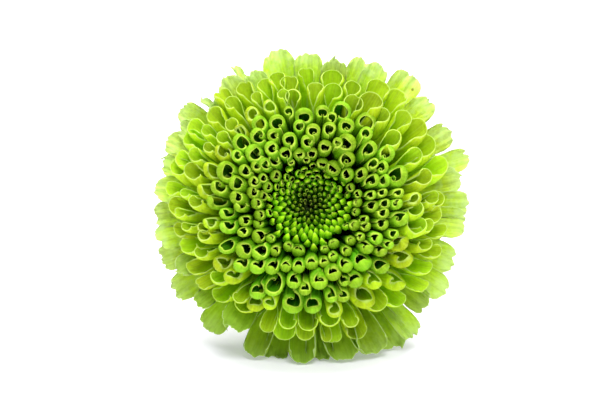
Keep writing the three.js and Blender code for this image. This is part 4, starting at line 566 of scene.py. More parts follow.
def strap(az, rout, w, alpha, seed, dz=0.0, ddir=0.0, cup=60.0, depth=None, rin=None, wavy=1.0, teeth=1.0, z=None, dirn=None, recurve=0.0, frill=0.0, fold=0.0):
    """An open strap floret, cupped along its length, with a blunt notched tip."""
    f = dict(alpha=alpha, theta=math.radians(az), r=rout, z=(lut(PROFILE, rout) if z is None else z) + dz,
             dir=(lut(TIP_DIR, rout) if dirn is None else dirn) + ddir, seed=rnd(seed, 1), rz=rout / 37.0, w=w)
    hw = 0.5 * w
    c1 = cup * (0.8 + 0.4 * rnd(seed, 2))
    # arc length such that the chord keeps the stated width
    phi = math.radians(c1)
    half = hw * phi / max(math.sin(phi), 0.2) if phi < 1.6 else hw * 1.6
    tube = scaled(teardrop(1.1), hw * 0.62)
    f['secA'] = {1: tube, -1: tube}
    f['secB'] = {1: [(half * 0.7, c1 * 0.55), (half * 0.3, c1 * 0.45)], -1: [(half * 0.7, c1 * 0.55), (half * 0.3, c1 * 0.45)]}
    f['strap'] = True
    f['blunt'] = 2.0 + 0.9 * rnd(seed, 3)
    cut = w * ((0.56 + 0.30 * rnd(seed, 4)) if frill else (0.42 + 0.22 * rnd(seed, 4)))
    f['cut'] = {1: cut * (1 + 0.35 * sym(seed, 5)), -1: cut * (1 + 0.35 * sym(seed, 6))}
    f['rho'] = ([0, 0.25, 0.5, 0.72, 0.88, 1.0, 1.1], [0.22, 0.42, 0.62, 0.86, 1.02, 1.0, 0.95])
    f['open'] = ([0, 0.28, 0.62, 1.0], [0, 0.1, 0.9, 1])
    nz = smooth_noise(seed + 31)
    n_teeth, notch = 1 + int(2 * rnd(seed, 7)), 0.6 * sym(seed, 41)
    off = sym(seed, 8) * 0.5
    amp = teeth * w * ((0.07 + 0.10 * rnd(seed, 9)) if frill else (0.04 + 0.07 * rnd(seed, 9)))
    ny = smooth_noise(seed + 37, 9)

    def bite(x):
        lobes = 0.5 - 0.5 * np.cos(math.pi * (x + off) * n_teeth)
        extra = 0.050 * ny(x * 4.2) + 0.11 * np.exp(-((x - notch) / 0.10) ** 2) if frill else 0.0
        return (0.8 * amp * lobes**2.4 + (0.05 * nz(x * 1.6) + extra) * w * teeth) * np.cos(0.5 * math.pi * np.minimum(np.abs(x), 1)) ** 0.8

    f['teeth'] = bite
    n1, n2, n3 = smooth_noise(seed + 11), smooth_noise(seed + 17), smooth_noise(seed + 23)

    def wave(P, u, cols, N, T, edge):
        e = np.abs(cols)[None, :]
        k = np.clip((u - 0.45) / 0.55, 0, 1.1)
        a = wavy * w * ((0.09 if frill else 0.075) * k * e**2 * n1(u * 6.0 + 2.5 * np.sign(cols)[None, :]) + 0.05 * k**2 * n2(cols[None, :] * 2.0 + u))
        groove = ((0.030 if frill else 0.012) + 0.085 * fold) * w * k * np.cos(math.pi * (2.8 + 1.2 * n3(0.7)) * cols + 3 * n3(0.2))[None, :] * (1 - 0.4 * e)
        if frill:                                  # crinkled margin
            s1 = (1.0 - u) * f['L_est'] + 0.0 * e
            run = s1 * (e > 0.55) + w * 0.5 * cols[None, :] * 1.0
            ph = 2 * math.pi * run / (2.3 + 0.6 * n1(0.4)) + 5.0 * n2(cols[None, :] * 3 + u * 7)
            groove = groove + frill * k * np.sin(ph) * np.exp(-edge / 0.9)
            groove = groove + (1.9 + 3.6 * fold) * frill * k * n1(u * 15 + cols[None, :] * 2.4) * n3(cols[None, :] * 3.2 - u * 7)
        P = P + N * (a + groove)[..., None]
        back = recurve * w * np.clip((u - 0.8) / 0.2, 0, 1.2)**2
        P = P - N * back[..., None] + T * (0.008 * w * n3(cols * 3)[None, :] * k)[..., None]
        return P

    f['wave'] = wave
    if fold:                                       # the tip bends forward again
        hl, ha = 0.8 * w * fold, (30 + 50 * rnd(seed, 44)) * fold
        f['hook_len'], f['hook'] = hl, ha
        a = math.radians(f['dir']) - np.radians(ha) * ((np.arange(24) + 0.5) / 24) ** 1.25
        f['r'] -= max(0.0, float(np.max(np.cumsum(np.sin(a)))) * hl / 24)
        f['z'] -= 0.8 * max(0.0, float(np.max(np.cumsum(np.cos(a)))) * hl / 24)
    f['L_est'] = 30.0
    f['thick'] = (0.18, 0.10)
    f['twist'] = math.radians(14 * sym(seed, 15))
    f['sway'] = 0.05 * sym(seed, 16)
    f['wob'] = 0.012 * sym(seed, 18)
    f['nh'], f['rows'] = (15, (7, 22)) if frill else (13, (8, 15))
    return f


def ruffled(wave, w, seed):
    """The same blade with a crumpled, toothed end."""
    n1, n2 = smooth_noise(seed + 51), smooth_noise(seed + 57)

    def more(P, u, cols, N, T, edge):
        P = wave(P, u, cols, N, T, edge)
        k = np.clip((u - 0.55) / 0.45, 0, 1.1)
        c = cols[None, :]
        P = P + N * (w * k * (0.16 * n1(u * 13 + c * 2.6) * n2(c * 3.0 - u * 6) + 0.07 * np.cos(math.pi * 3.2 * c + 2.0)))[..., None]
        return P + T * (0.05 * w * k**3 * n2(c * 4.5 + 1.0))[..., None]

    return more
# ------------------------------------------------------------------ nodes
def bract_row(count, base, tip_r, tip_z, width, phase, seed0):
    m = Mesh()
    for i in range(count):
        noise = lambda k: 2 * ((math.sin(i * 12.9898 + k * 78.233) * 43758.5453) % 1.0) - 1
        th = 2 * math.pi * (i + phase) / count + 0.02 * noise(3)
        r1, z1 = tip_r + 0.4 * noise(4), tip_z + 0.25 * noise(5)
        u = np.linspace(0, 1, 60)
        r0, z0 = base
        pr = (r0 - 0.9) + (r1 - r0 + 0.9) * u
        pz = z0 + (z1 - z0) * u + 1.1 * u * u - 1.1 * u
        p = np.column_stack([pr, pz])
        dp = np.gradient(p, axis=0)
        ang = np.arctan2(dp[:, 0], dp[:, 1])
        s = np.concatenate([[0], np.cumsum(np.hypot(*np.diff(p, axis=0).T))])
        hw = width * 0.5
        seg = [(hw * 0.7, 16), (hw * 0.38, 12)]
        f = dict(path=(s, p, ang), theta=th, seed=rnd(seed0 + i, 1), rz=0.5, w=width, strap=True, blunt=1.35,
                 secA={1: seg, -1: seg}, secB={1: seg, -1: seg}, cut={1: width * 1.1, -1: width * 1.1},
                 rho=([0, 0.3, 0.7, 1.0, 1.1], [0.82, 1.0, 1.0, 0.92, 0.9]), open=([0, 1], [0, 1]),
                 thick=(0.34, 0.16), nh=8, rows=(6, 12))
        n1 = smooth_noise(seed0 + 3 * i)

        def wave(P, u, cols, N, T, edge, n1=n1):
            keel = 0.16 * np.exp(-(cols / 0.16) ** 2)[None, :]
            return P + N * (0.10 * np.clip(u, 0, 1) * np.abs(cols)[None, :] * n1(u * 5 + cols[None, :]) - keel)[..., None]

        f['wave'] = wave
        floret(m, f)
    return m


def stem_mesh():
    """Receptacle and stalk, turned as one closed body with fine ribs down the stalk."""
    prof = [(8.5 * math.sin(math.radians(a)), DOME_Z + 8.5 * math.cos(math.radians(a))) for a in range(2, 92, 3)]
    prof += [(8.3, -10.6), (7.9, -11.5), (7.4, -12.4), (6.6, -13.6), (5.6, -14.8), (4.7, -15.9), (3.9, -17.0), (3.35, -18.2), (2.9, -19.6), (2.6, -21.2), (2.35, -23), (2.2, -25.5), (2.1, -28)]
    zs = np.linspace(-28, -89.0, 96)[1:]
    prof += [(2.0 * (1 + 0.02 * math.sin(z * 0.8)) + 0.22 * math.exp(-((z + 61) / 1.8) ** 2) * 1.0, z) for z in zs]
    prof = np.array(prof)
    nseg = 64
    a = np.arange(nseg) * 2 * math.pi / nseg
    rings, att = [], []
    for r, z in prof:
        k = min(1.0, max(0.0, (-15 - z) / 8))
        rib = 1 + k * (0.035 * np.cos(9 * a + 0.02 * z) + 0.012 * np.cos(22 * a + 1.3))
        q = max(0.0, (-20 - z) / (-20 + 89.0))
        sag = -1.6 * 4 * q * (1 - q) * 0.6
        rr = r * rib
        pt = np.column_stack([rr * np.cos(a), rr * np.sin(a) + sag, np.full(nseg, z)])
        rings.append(pt)
        att.append(np.column_stack([np.full(nseg, 1.0), np.full(nseg, (-z) / 89.0), a / math.pi - 1, np.zeros(nseg), np.full(nseg, 0.5), np.full(nseg, 0.3)]))
    # the cut end: a firm rind round a slightly sunk pale pith
    r_end = prof[-1][0]
    for k, (fr, dz) in enumerate([(0.97, -0.10), (0.88, -0.14), (0.80, -0.06), (0.70, 0.10), (0.45, 0.16), (0.15, 0.12)]):
        rib = 1 + 0.035 * np.cos(9 * a - 1.78) * fr**3
        pt = np.column_stack([r_end * fr * rib * np.cos(a), r_end * fr * rib * np.sin(a), np.full(nseg, -89.0 - dz + 0.06)])
        rings.append(pt)
        att.append(np.column_stack([np.full(nseg, 1.0), np.full(nseg, 1.0 + (1 - fr)), a / math.pi - 1, np.ones(nseg), np.full(nseg, 0.5), np.full(nseg, 0.3)]))
    v = np.vstack(rings)
    z = v @ FLOOR_UP + HEAD[2]
    v = v + (np.maximum(z, 0.02) - z)[:, None] * FLOOR_UP
    nr = len(rings)
    idx = np.arange(nr * nseg).reshape(nr, nseg)
    nxt = np.roll(idx, -1, axis=1)
    q = np.stack([idx[:-1], idx[1:], nxt[1:], nxt[:-1]], -1).reshape(-1, 4)
    return v, q, np.vstack(att), idx[0], idx[-1]


def build_all():
    out = {}
    for i, (kind, lo, hi, text) in enumerate(ROWS):
        m = Mesh()
        alpha = (lo + hi) / 2
        for j, t in enumerate(text.split()):
            az, rin, rout, w, code = t.split(',')
            az, rin, rout, w = float(az), float(rin), float(rout), float(w)
            seed = 100 * i + j + 1
            if kind in 'ab':
                f = small(code, az, rin, rout, w, alpha, seed, i)
            elif code[1] in 'es':
                f = spoon(az, rin, rout, w * (1.0 if code[1] == 's' else 1.08), alpha, seed, i)
            else:
                f = quill(code, az, rin, rout, w, alpha, seed, i)
            floret(m, f)
        out['floret_row_%02d' % (i + 1)] = m.arrays()
    for k, (lo, hi, n, r, z, d, w, ph) in enumerate([(97.6, 101.2, 20, 30.4, -5.6, 110, 5.4, 0.3), (101.8, 105.4, 20, 28.0, -9.0, 121, 5.0, 0.8)]):
        m = Mesh()
        for i in range(n):
            noise = lambda c: 2 * ((math.sin(i * 12.9898 + c * 78.233) * 43758.5453) % 1.0) - 1
            th = 2 * math.pi * (i + ph) / n + 0.03 * noise(11 + k)
            f = strap(math.degrees(th), r + 0.7 * noise(21 + k), w * 1.15, (lo + hi) / 2, 3000 + 100 * k + i, cup=38,
                      z=z + 0.4 * noise(31 + k), dirn=d, wavy=1.2, teeth=0.8, frill=0.14)
            floret(m, f)
        out['floret_row_back_%d' % (k + 1)] = m.arrays()
    for i, t in enumerate(OUTER.split()):
        az, r, w = [float(x) for x in t.split(',')]
        behind = i in (28, 30, 33) if 26 < i < 34 else i % 2 == 1
        low = max(0.0, -math.sin(math.radians(az)))
        m = Mesh()
        under = low**4
        f = strap(az, r + 0.3 + (0.9 - 0.6 * behind) * under, w * (1.05 + 0.10 * sym(5000 + i, 40) - 0.06 * under), 94.4 if behind else 89.4, 5000 + i,
                  dz=(-1.5 if behind else 0.7) + (4.2 - 2.4 * behind) * under, ddir=(4 if behind else 0) - 14 * under * (not behind),
                  cup=44 + 30 * low + 24 * under, wavy=1.7 + 1.8 * under, teeth=(0.6 if i == 9 else 1.0) + 0.5 * under, frill=0.25 + 0.10 * under, fold=under)
        if i in (27, 29, 31, 32):                  # the lowest ones are rolled at the base like scoops
            f = spoon(az, r - 9.5, r + (2.4 if i in (27, 32) else 1.3), w * 1.18, 90.5, 5000 + i, 15)
            f['z'] += 0.7 + 4.6 * under
            f['dir'] -= 10 * under
            f['wave'] = ruffled(f['wave'], w, 5000 + i)
        # painted shade: the lower petals get a smaller 'out' value, so the outer material darkens them and turns them
        # deeper green
        f['rz'] -= 0.24 * low**1.5
        floret(m, f)
        if i in (11, 13):                          # narrow curled tips between the broad ones
            a2, r2, w2 = ((117.5, 35.9, 2.0) if i == 11 else (134.5, 33.6, 1.8))
            f = strap(a2, r2, w2, 91.0, 5600 + i, dz=0.6, cup=95, wavy=2.2, teeth=1.6, frill=0.16, recurve=0.5)
            f['twist'] = 0.9
            floret(m, f)
        out['outer_floret_%02d' % (i + 1)] = m.arrays()
    out['bracts_upper'] = bract_row(14, (9.3, -11.6), 15.8, -11.1, 3.4, 0, 7000).arrays()
    out['bracts_lower'] = bract_row(12, (7.9, -13.6), 13.0, -12.9, 3.2, 0.5, 7200).arrays()
    return out


def RIDE(o, node):
    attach(o, 'root')
    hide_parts(node)


# ------------------------------------------------------------------ materials
def lin(r, g, b):
    """sRGB 0..255 to a linear colour."""
    def c(x):
        x /= 255.0
        return x / 12.92 if x <= 0.04045 else ((x + 0.055) / 1.055) ** 2.4
    return (c(r), c(g), c(b), 1.0)


class Graph:
    def __init__(self, name):
        self.mat = bpy.data.materials.new(name)
        self.mat.use_nodes = True
        self.t = self.mat.node_tree
        self.t.nodes.clear()

    def node(self, kind, **sockets):
        n = self.t.nodes.new(kind)
        for k, v in sockets.items():
            self.put(n, k, v)
        return n

    def put(self, n, key, v):
        s = n.inputs[int(key[1:])] if key[0] == '_' and key[1:].isdigit() else n.inputs[key.replace('_', ' ')]
        if isinstance(v, bpy.types.NodeSocket):
            self.t.links.new(v, s)
        else:
            s.default_value = v

    def attr(self, name):
        n = self.t.nodes.new('ShaderNodeAttribute')
        n.attribute_type = 'GEOMETRY'
        n.attribute_name = name
        return n.outputs['Fac']

    def math(self, op, a, b=0.0, c=None, clamp=False):
        n = self.t.nodes.new('ShaderNodeMath')
        n.operation = op
        n.use_clamp = clamp
        self.put(n, '_0', a)
        self.put(n, '_1', b)
        if c is not None:
            self.put(n, '_2', c)
        return n.outputs[0]

    def span(self, x, a, b, lo=0.0, hi=1.0, smooth=True):
        n = self.t.nodes.new('ShaderNodeMapRange')
        n.interpolation_type = 'SMOOTHSTEP' if smooth else 'LINEAR'
        self.put(n, 'Value', x)
        for k, v in (('From Min', a), ('From Max', b), ('To Min', lo), ('To Max', hi)):
            n.inputs[k].default_value = v
        return n.outputs['Result']

    def mix(self, f, a, b, mode='MIX'):
        n = self.t.nodes.new('ShaderNodeMix')
        n.data_type = 'RGBA'
        n.blend_type = mode
        n.clamp_factor = True
        self.put(n, '_0', f)
        self.put(n, '_6', a)
        self.put(n, '_7', b)
        return n.outputs[2]

    def ramp(self, x, stops):
        n = self.t.nodes.new('ShaderNodeValToRGB')
        e = n.color_ramp.elements
        while len(e) < len(stops):
            e.new(0.5)
        for i, (p, c) in enumerate(stops):
            e[i].position = p
            e[i].color = c
        self.put(n, '_0', x)
        return n.outputs[0]

    def noise(self, scale, detail=3.0, rough=0.55, vec=None, w=None):
        n = self.t.nodes.new('ShaderNodeTexNoise')
        n.noise_dimensions = '3D'
        n.inputs['Scale'].default_value = scale
        n.inputs['Detail'].default_value = detail
        n.inputs['Roughness'].default_value = rough
        if vec is not None:
            self.put(n, 'Vector', vec)
        return n.outputs[0]

    def vec(self, x, y, z):
        n = self.t.nodes.new('ShaderNodeCombineXYZ')
        self.put(n, '_0', x)
        self.put(n, '_1', y)
        self.put(n, '_2', z)
        return n.outputs[0]

    def finish(self, shader):
        o = self.t.nodes.new('ShaderNodeOutputMaterial')
        self.t.links.new(shader, o.inputs['Surface'])
        return self.mat


def petal(name, stops_out, stops_in, rim, glow, translucency, rough=0.44, spec=0.3, veins=0.5, rim_mm=0.42, bump=0.05, pale=0.0, gain=(0.0, 1.0, 1.0, 1.0), hue=(0.49, 0.508), lift=None, mottle_and_fold_shade=0.40, speck=None):
    """Petal skin: colour along the floret, darker towards the base (partly painted shade deep in the bloom), paler rim
    (partly painted highlight), fine lengthwise veins, soft mottling (strong mottling is painted fold shade).
    """
    g = Graph(name)
    e, u, v, ad, sd = (g.attr(k) for k in ('edge', 'along', 'across', 'inside', 'seed'))
    # colour from the floret's base to its tip: the dark base is partly the floret's own deeper green and partly
    # painted shade deep in the bloom and down the throats
    out = g.ramp(u, stops_out)
    inn = g.ramp(u, stops_in)
    base = g.mix(ad, out, inn)
    if lift:                                       # painted light: the lower parts and throats of the outer florets are lifted towards a brighter green where they lie in shade
        a, b, most, tone = lift
        base = g.mix(g.math('MULTIPLY', g.span(g.attr('out'), a, b, 0.0, most), g.span(u, 0.3, 0.95, 1.0, 0.0)), base, tone)
    # every floret a little lighter or darker than its neighbours
    lum = g.span(sd, 0.0, 1.0, -0.16, 0.16, smooth=False)
    # mottling: partly the blade's own uneven tone; where strong, as on the outer, back and scoop petals, it is painted
    # shade of folds and creases
    coord = g.vec(g.math('MULTIPLY', v, 9.0), g.math('MULTIPLY', u, 5.0), g.math('MULTIPLY', sd, 71.0))
    mott = g.noise(1.0, 4.0, 0.6, vec=coord)
    fine = g.noise(1.0, 2.0, 0.5, vec=g.vec(g.math('MULTIPLY', v, 34.0), g.math('MULTIPLY', u, 2.4), g.math('MULTIPLY', sd, 53.0)))
    m = g.math('ADD', g.math('ADD', lum, 1.0), g.math('MULTIPLY', g.math('SUBTRACT', mott, 0.5), mottle_and_fold_shade))
    m = g.math('ADD', m, g.math('MULTIPLY', g.math('SUBTRACT', fine, 0.5), 0.55 * veins))
    oc = g.t.nodes.new('ShaderNodeTexCoord').outputs['Object']
    grain = g.noise(1500.0, 2.0, 0.6, vec=oc)
    m = g.math('ADD', m, g.math('MULTIPLY', g.math('SUBTRACT', grain, 0.5), 0.42))
    # painted light and shade by where the floret sits (its 'out' value): darker towards the hollow middle of the
    # bloom, lighter further out, and darker on the lower outer petals whose 'out' is lowered
    m = g.math('MULTIPLY', m, g.span(g.attr('out'), gain[0], gain[1], gain[2], gain[3]))
    hsv = g.node('ShaderNodeHueSaturation', Value=m, Color=base)
    g.put(hsv, 'Hue', g.span(sd, 0.0, 1.0, hue[0], hue[1], smooth=False))
    base = hsv.outputs[0]
    if pale:                                       # painted shade: deeper, darker green on the lower outer petals and the back rows, which lie in shade
        base = g.mix(g.span(g.attr('out'), 0.74, 0.94, 0.58, 0.0), base, lin(126, 178, 2))
    if pale:                                       # whitish clouds and paler tips: partly the thin crinkled blade's own whitish tone, partly painted sheen, kept off the lower petals in shade
        pale_sheen_cloud = g.noise(420.0, 4.0, 0.62, vec=oc)
        far = g.math('MULTIPLY', g.span(u, 0.6, 1.0, 0.15, 1.0), g.span(g.attr('out'), 0.76, 0.94, 0.05, 1.0))
        base = g.mix(g.math('MULTIPLY', g.span(pale_sheen_cloud, 0.40, 0.66, 0.0, pale), far), base, lin(211, 234, 156))
        base = g.mix(g.math('MULTIPLY', g.span(u, 0.84, 1.0, 0.0, 0.45), g.span(g.attr('out'), 0.76, 0.94, 0.15, 1.0)), base, lin(213, 236, 162))
    # pale vein lines
    vein = g.math('SINE', g.math('MULTIPLY', v, 21.0))
    vein = g.math('POWER', g.math('MAXIMUM', vein, 0.0), 6.0)
    vein = g.math('MULTIPLY', vein, g.span(u, 0.35, 0.8, 0.0, 0.12 * veins))
    base = g.mix(vein, base, rim)
    # paler margin: partly the thin edge's own paler colour, partly a painted highlight along the lip
    uneven = g.noise(1.0, 1.0, 0.5, vec=g.vec(g.math('MULTIPLY', v, 2.2), g.math('MULTIPLY', u, 6.0), g.math('MULTIPLY', sd, 37.0)))
    edge = g.span(g.math('MULTIPLY', e, g.span(uneven, 0.32, 0.66, 0.7, 2.2)), 0.0, rim_mm * 1.5, 1.0, 0.0)
    edge = g.math('MULTIPLY', edge, g.span(u, 0.45, 0.8, 0.0, 1.0))
    if pale:
        edge = g.math('MULTIPLY', edge, g.span(g.attr('out'), 0.74, 0.92, 1.0, 0.7))
    base = g.mix(g.math('MULTIPLY', edge, 0.9), base, rim)
    if speck:                                      # one small brown blemish, placed in the bloom's own x and y (mm)
        xyz = g.node('ShaderNodeSeparateXYZ', Vector=oc)
        bx = g.math('MULTIPLY_ADD', xyz.outputs[0], 1000.0, -float(HEAD[0]) - speck[0])
        by = g.math('MULTIPLY_ADD', xyz.outputs[1], 1000.0 * math.sin(TILT), -float(HEAD[1]) * math.sin(TILT) - float(HEAD[2]) * math.cos(TILT) - speck[1])
        by = g.math('MULTIPLY_ADD', xyz.outputs[2], 1000.0 * math.cos(TILT), by)
        far = g.math('SQRT', g.math('ADD', g.math('MULTIPLY', bx, bx), g.math('MULTIPLY', by, by)))
        far = g.math('ADD', far, g.math('MULTIPLY', g.math('SUBTRACT', grain, 0.5), 0.4))
        base = g.mix(g.span(far, speck[2] * 0.4, speck[2], 0.8, 0.0), base, lin(112, 86, 34))
    bs = g.noise(1.0, 2.0, 0.5, vec=g.vec(g.math('MULTIPLY', v, 46.0), g.math('MULTIPLY', u, 6.0), g.math('MULTIPLY', sd, 31.0)))
    if pale:
        bs = g.math('ADD', g.math('MULTIPLY', bs, 0.16), g.math('MULTIPLY', g.noise(430.0, 2.0, 0.5, vec=oc), 1.7))
    bn = g.node('ShaderNodeBump', Strength=1.0, Distance=bump * 0.001, Height=bs)
    p = g.node('ShaderNodeBsdfPrincipled', Base_Color=base, Roughness=rough, Normal=bn.outputs[0])
    p.inputs['Specular IOR Level'].default_value = spec
    p.inputs['Specular Tint'].default_value = (0.6, 1.0, 0.3, 1.0)
    p.inputs['IOR'].default_value = 1.42
    gm = g.node('ShaderNodeGamma', Color=base, Gamma=0.85)
    tr = g.node('ShaderNodeBsdfTranslucent', Color=g.mix(0.35, gm.outputs[0], glow), Normal=bn.outputs[0])
    if isinstance(translucency, tuple):            # thinner walls, so more light through them, further out
        translucency = g.span(g.attr('out'), *translucency)
    mx = g.node('ShaderNodeMixShader', _0=translucency, _1=p.outputs[0], _2=tr.outputs[0])
    return g.finish(mx.outputs[0])


def materials():
    M = {}
    # the ramps run from each floret's base to its tip; their dark base colours are partly painted shade deep in the
    # bloom
    M['floret_centre'] = petal('floret_centre',
                               [(0.0, lin(16, 100, 2)), (0.6, lin(92, 164, 8)), (1.0, lin(172, 220, 30))],
                               [(0.0, lin(14, 92, 1)), (1.0, lin(136, 200, 12))],
                               # gain: painted shade, the centre darkening towards the very middle of its hollow
                               lin(222, 244, 100), lin(116, 214, 5), 0.30, rim_mm=0.20, spec=0.18, gain=(0.02, 0.14, 0.30, 1.45), hue=(0.496, 0.513))
    M['floret_inner'] = petal('floret_inner',
                              [(0.0, lin(12, 96, 2)), (0.6, lin(98, 168, 8)), (1.0, lin(170, 216, 28))],
                              [(0.0, lin(10, 88, 2)), (1.0, lin(132, 192, 11))],
                              lin(226, 244, 104), lin(96, 208, 9), 0.30, rim_mm=0.24, spec=0.2, veins=0.9, bump=0.08, gain=(0.0, 1.0, 1.70, 1.70), hue=(0.492, 0.510))
    M['floret_quill'] = petal('floret_quill',
                              [(0.0, lin(2, 50, 1)), (0.52, lin(15, 88, 2)), (0.78, lin(92, 158, 8)), (0.92, lin(136, 188, 24)), (1.0, lin(160, 204, 42))],
                              [(0.0, lin(2, 78, 4)), (0.66, lin(36, 130, 6)), (1.0, lin(116, 180, 14))],
                              # lift: painted light in the shaded lower parts of the outer quills
                              lin(202, 230, 80), lin(84, 200, 9), 0.24, rim_mm=0.23, spec=0.26, veins=1.15, bump=0.10, gain=(0.24, 0.56, 0.70, 0.91), hue=(0.494, 0.513), lift=(0.38, 0.52, 0.85, lin(84, 172, 4)))
    M['floret_scoop'] = petal('floret_scoop',
                              [(0.0, lin(70, 150, 3)), (0.5, lin(138, 190, 6)), (0.85, lin(172, 211, 20)), (1.0, lin(182, 215, 42))],
                              [(0.0, lin(76, 152, 3)), (0.62, lin(144, 194, 6)), (0.84, lin(174, 211, 20)), (1.0, lin(190, 219, 60))],
                              # lift: painted light in the shaded throats and lower parts of the scoops
                              lin(213, 235, 126), lin(194, 228, 26), 0.42, rim_mm=0.29, spec=0.16, mottle_and_fold_shade=0.6, veins=0.9, gain=(0.56, 0.92, 0.98, 1.17), hue=(0.482, 0.498), lift=(0.42, 0.86, 0.85, lin(150, 203, 6)))
    M['floret_outer'] = petal('floret_outer',
                              [(0.0, lin(122, 178, 4)), (0.55, lin(174, 211, 18)), (0.85, lin(196, 222, 66)), (1.0, lin(204, 227, 116))],
                              [(0.0, lin(114, 172, 3)), (0.6, lin(172, 210, 16)), (0.85, lin(195, 222, 60)), (1.0, lin(204, 227, 112))],
                              lin(212, 231, 164), lin(206, 229, 108), 0.50, rim_mm=0.24, veins=0.3, pale=0.78, spec=0.08, bump=0.28, mottle_and_fold_shade=1.0, speck=(23.2, 26.1, 0.5),
                              # gain with the lowered 'out' of the lower petals: painted shade on the lower outer
                              # petals
                              gain=(0.76, 0.94, 0.94, 1.04), hue=(0.492, 0.504))
    M['floret_back'] = petal('floret_back',
                             [(0.0, lin(104, 170, 5)), (0.6, lin(152, 204, 14)), (1.0, lin(196, 226, 58))],
                             [(0.0, lin(96, 162, 4)), (0.6, lin(146, 200, 12)), (1.0, lin(192, 224, 52))],
                             lin(218, 238, 136), lin(194, 232, 76), 0.46, rim_mm=0.18, veins=0.3, pale=0.7, spec=0.10, bump=0.34, hue=(0.495, 0.509), mottle_and_fold_shade=0.8)
    M['bract'] = petal('bract',
                       [(0.0, lin(70, 110, 30)), (0.7, lin(92, 134, 44)), (1.0, lin(120, 150, 70))],
                       [(0.0, lin(80, 120, 34)), (1.0, lin(110, 150, 60))],
                       lin(190, 196, 140), lin(120, 170, 40), 0.12, rough=0.6, rim_mm=0.5, veins=0.8)
    # stalk: ribbed green with fine lengthwise streaks, and a pale pith at the cut
    g = Graph('stalk')
    u, v, ad = g.attr('along'), g.attr('across'), g.attr('inside')
    st = g.noise(1.0, 3.0, 0.6, vec=g.vec(g.math('MULTIPLY', v, 16.0), g.math('MULTIPLY', u, 9.0), 0.0))
    fl = g.noise(1.0, 4.0, 0.65, vec=g.vec(g.math('MULTIPLY', v, 40.0), g.math('MULTIPLY', u, 60.0), 3.0))
    c = g.mix(g.span(st, 0.35, 0.68), lin(74, 112, 34), lin(122, 158, 62))
    rib = g.span(g.math('SINE', g.math('MULTIPLY', v, 9.0 * math.pi)), -0.4, 0.9, 0.0, 0.45)
    c = g.mix(rib, c, lin(140, 172, 84))
    c = g.mix(g.span(fl, 0.60, 0.74, 0.0, 0.6), c, lin(60, 88, 30))
    pith = g.ramp(g.math('SUBTRACT', u, 1.0), [(0.0, lin(110, 140, 60)), (0.16, lin(150, 172, 96)), (0.3, lin(206, 214, 160)), (1.0, lin(226, 228, 190))])
    c = g.mix(ad, c, pith)
    bn = g.node('ShaderNodeBump', Strength=0.6, Distance=0.0001, Height=fl)
    p = g.node('ShaderNodeBsdfPrincipled', Base_Color=c, Roughness=0.55, Normal=bn.outputs[0])
    p.inputs['Specular IOR Level'].default_value = 0.3
    M['stalk'] = g.finish(p.outputs[0])
    return M


# ------------------------------------------------------------------ objects
ATTRS = ('edge', 'along', 'across', 'inside', 'seed', 'out')


def make_object(name, v, q, att, material, caps=None):
    me = bpy.data.meshes.new(name)
    co = to_part(v).astype(np.float32)
    nq = len(q)
    loops = q.reshape(-1)
    starts = np.arange(nq) * 4
    total = np.full(nq, 4)
    if caps is not None:
        a, b = caps
        loops = np.concatenate([loops, a[::-1], b])
        starts = np.concatenate([starts, [nq * 4, nq * 4 + len(a)]])
        total = np.concatenate([total, [len(a), len(b)]])
    me.vertices.add(len(co))
    me.vertices.foreach_set('co', co.reshape(-1))
    me.loops.add(len(loops))
    me.loops.foreach_set('vertex_index', loops.astype(np.int32))
    me.polygons.add(len(total))
    me.polygons.foreach_set('loop_start', starts.astype(np.int32))
    me.polygons.foreach_set('loop_total', total.astype(np.int32))
    me.update(calc_edges=True)
    me.polygons.foreach_set('use_smooth', np.ones(len(total), bool))
    for k, an in enumerate(ATTRS):
        a = me.attributes.new(an, 'FLOAT', 'POINT')
        a.data.foreach_set('value', np.ascontiguousarray(att[:, k], dtype=np.float32))
    me.validate()
    me.update()
    o = bpy.data.objects.new(name, me)
    bpy.context.scene.collection.objects.link(o)
    me.materials.append(material)
    return o


SLOTS = {}
for _i in range(16):
    SLOTS['floret_row_%02d' % (_i + 1)] = ['floret_centre'] * 3 + ['floret_inner'] * 3 + ['floret_quill'] * 5 + ['floret_scoop'] * 5
    SLOTS['floret_row_%02d' % (_i + 1)] = SLOTS['floret_row_%02d' % (_i + 1)][_i]
for _i in range(39):
    SLOTS['outer_floret_%02d' % (_i + 1)] = 'floret_outer'
for _n in ('floret_row_back_1', 'floret_row_back_2'):
    SLOTS[_n] = 'floret_back'
SLOTS.update(bracts_upper='bract', bracts_lower='bract', stem='stalk')

M = materials()
for node, (v, q, att) in build_all().items():
    piece = make_object('vis_' + node, v, q, att, M[SLOTS[node]])
    RIDE(piece, node)
sv, sq, sa, cap0, cap1 = stem_mesh()
piece = make_object('vis_stem', sv, sq, sa, M['stalk'], (cap0, cap1))
RIDE(piece, 'stem')

# ------------------------------------------------------------------ surface, light and camera
def plane(name, half, z):
    me = bpy.data.meshes.new(name)
    me.from_pydata([(-half, -half, z), (half, -half, z), (half, half, z), (-half, half, z)], [], [(0, 1, 2, 3)])
    o = bpy.data.objects.new(name, me)
    bpy.context.scene.collection.objects.link(o)
    return o


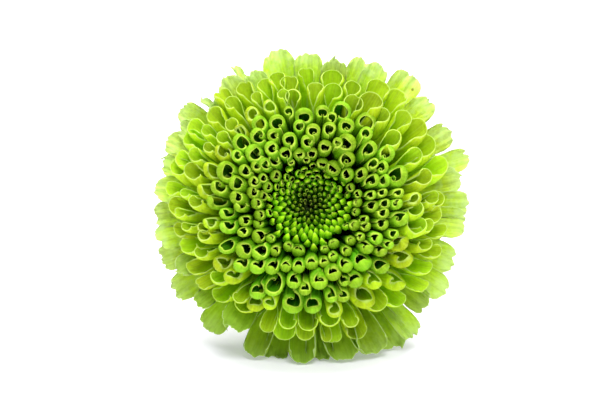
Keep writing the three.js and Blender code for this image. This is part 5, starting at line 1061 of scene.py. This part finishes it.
floor = plane('surface', 6.0, 0.0)
g = Graph('surface')
p = g.node('ShaderNodeBsdfPrincipled', Base_Color=(0.90, 0.868, 0.985, 1.0), Roughness=0.7)
p.inputs['Specular IOR Level'].default_value = 0.1
p.inputs['Emission Color'].default_value = (0.97, 0.985, 1.0, 1.0)
p.inputs['Emission Strength'].default_value = 0.225
floor.data.materials.append(g.finish(p.outputs[0]))

world = bpy.data.worlds.new('studio')
bpy.context.scene.world = world
world.use_nodes = True
bg = world.node_tree.nodes['Background']
bg.inputs['Color'].default_value = (1.0, 1.0, 1.0, 1.0)
bg.inputs['Strength'].default_value = 0.55


def area(name, loc, target, size, power, color=(1, 1, 1)):
    d = bpy.data.lights.new(name, 'AREA')
    d.shape = 'DISK'
    d.size = size
    d.energy = power
    d.color = color
    o = bpy.data.objects.new(name, d)
    o.location = loc
    dirv = Vector(target) - Vector(loc)
    o.rotation_mode = 'QUATERNION'
    o.rotation_quaternion = dirv.to_track_quat('-Z', 'Y')
    bpy.context.scene.collection.objects.link(o)
    return o


area('top', (0.0, 0.06, 1.10), (0, 0, 0.03), 1.0, 20.3, (1.0, 0.985, 0.95))
area('key', (0.09, -0.82, 0.95), (0, -0.02, 0.03), 0.45, 9.0)

scene = bpy.context.scene
scene.view_settings.view_transform = 'Standard'
scene.view_settings.look = 'None'
scene.view_settings.exposure = 0.0
scene.view_settings.gamma = 1.0

DIST = 1200.0
cam_data = bpy.data.cameras.new('camera')
cam_data.sensor_width = 36.0
cam_data.lens = 36.0 * DIST / (612 * 0.2236)
cam_data.clip_start, cam_data.clip_end = 0.05, 20.0
cam = bpy.data.objects.new('camera', cam_data)
scene.collection.objects.link(cam)
centre = np.array([(306 - 309) * 0.2236, (206 - 204.5) * 0.2236, 0.0])
eye = to_part(centre + np.array([0, 0, DIST]))
from mathutils import Matrix
rot = Matrix(((RIGHT[0], UP[0], AXIS[0]), (RIGHT[1], UP[1], AXIS[1]), (RIGHT[2], UP[2], AXIS[2])))
cam.matrix_world = Matrix.Translation(Vector(eye)) @ rot.to_4x4()
scene.camera = cam
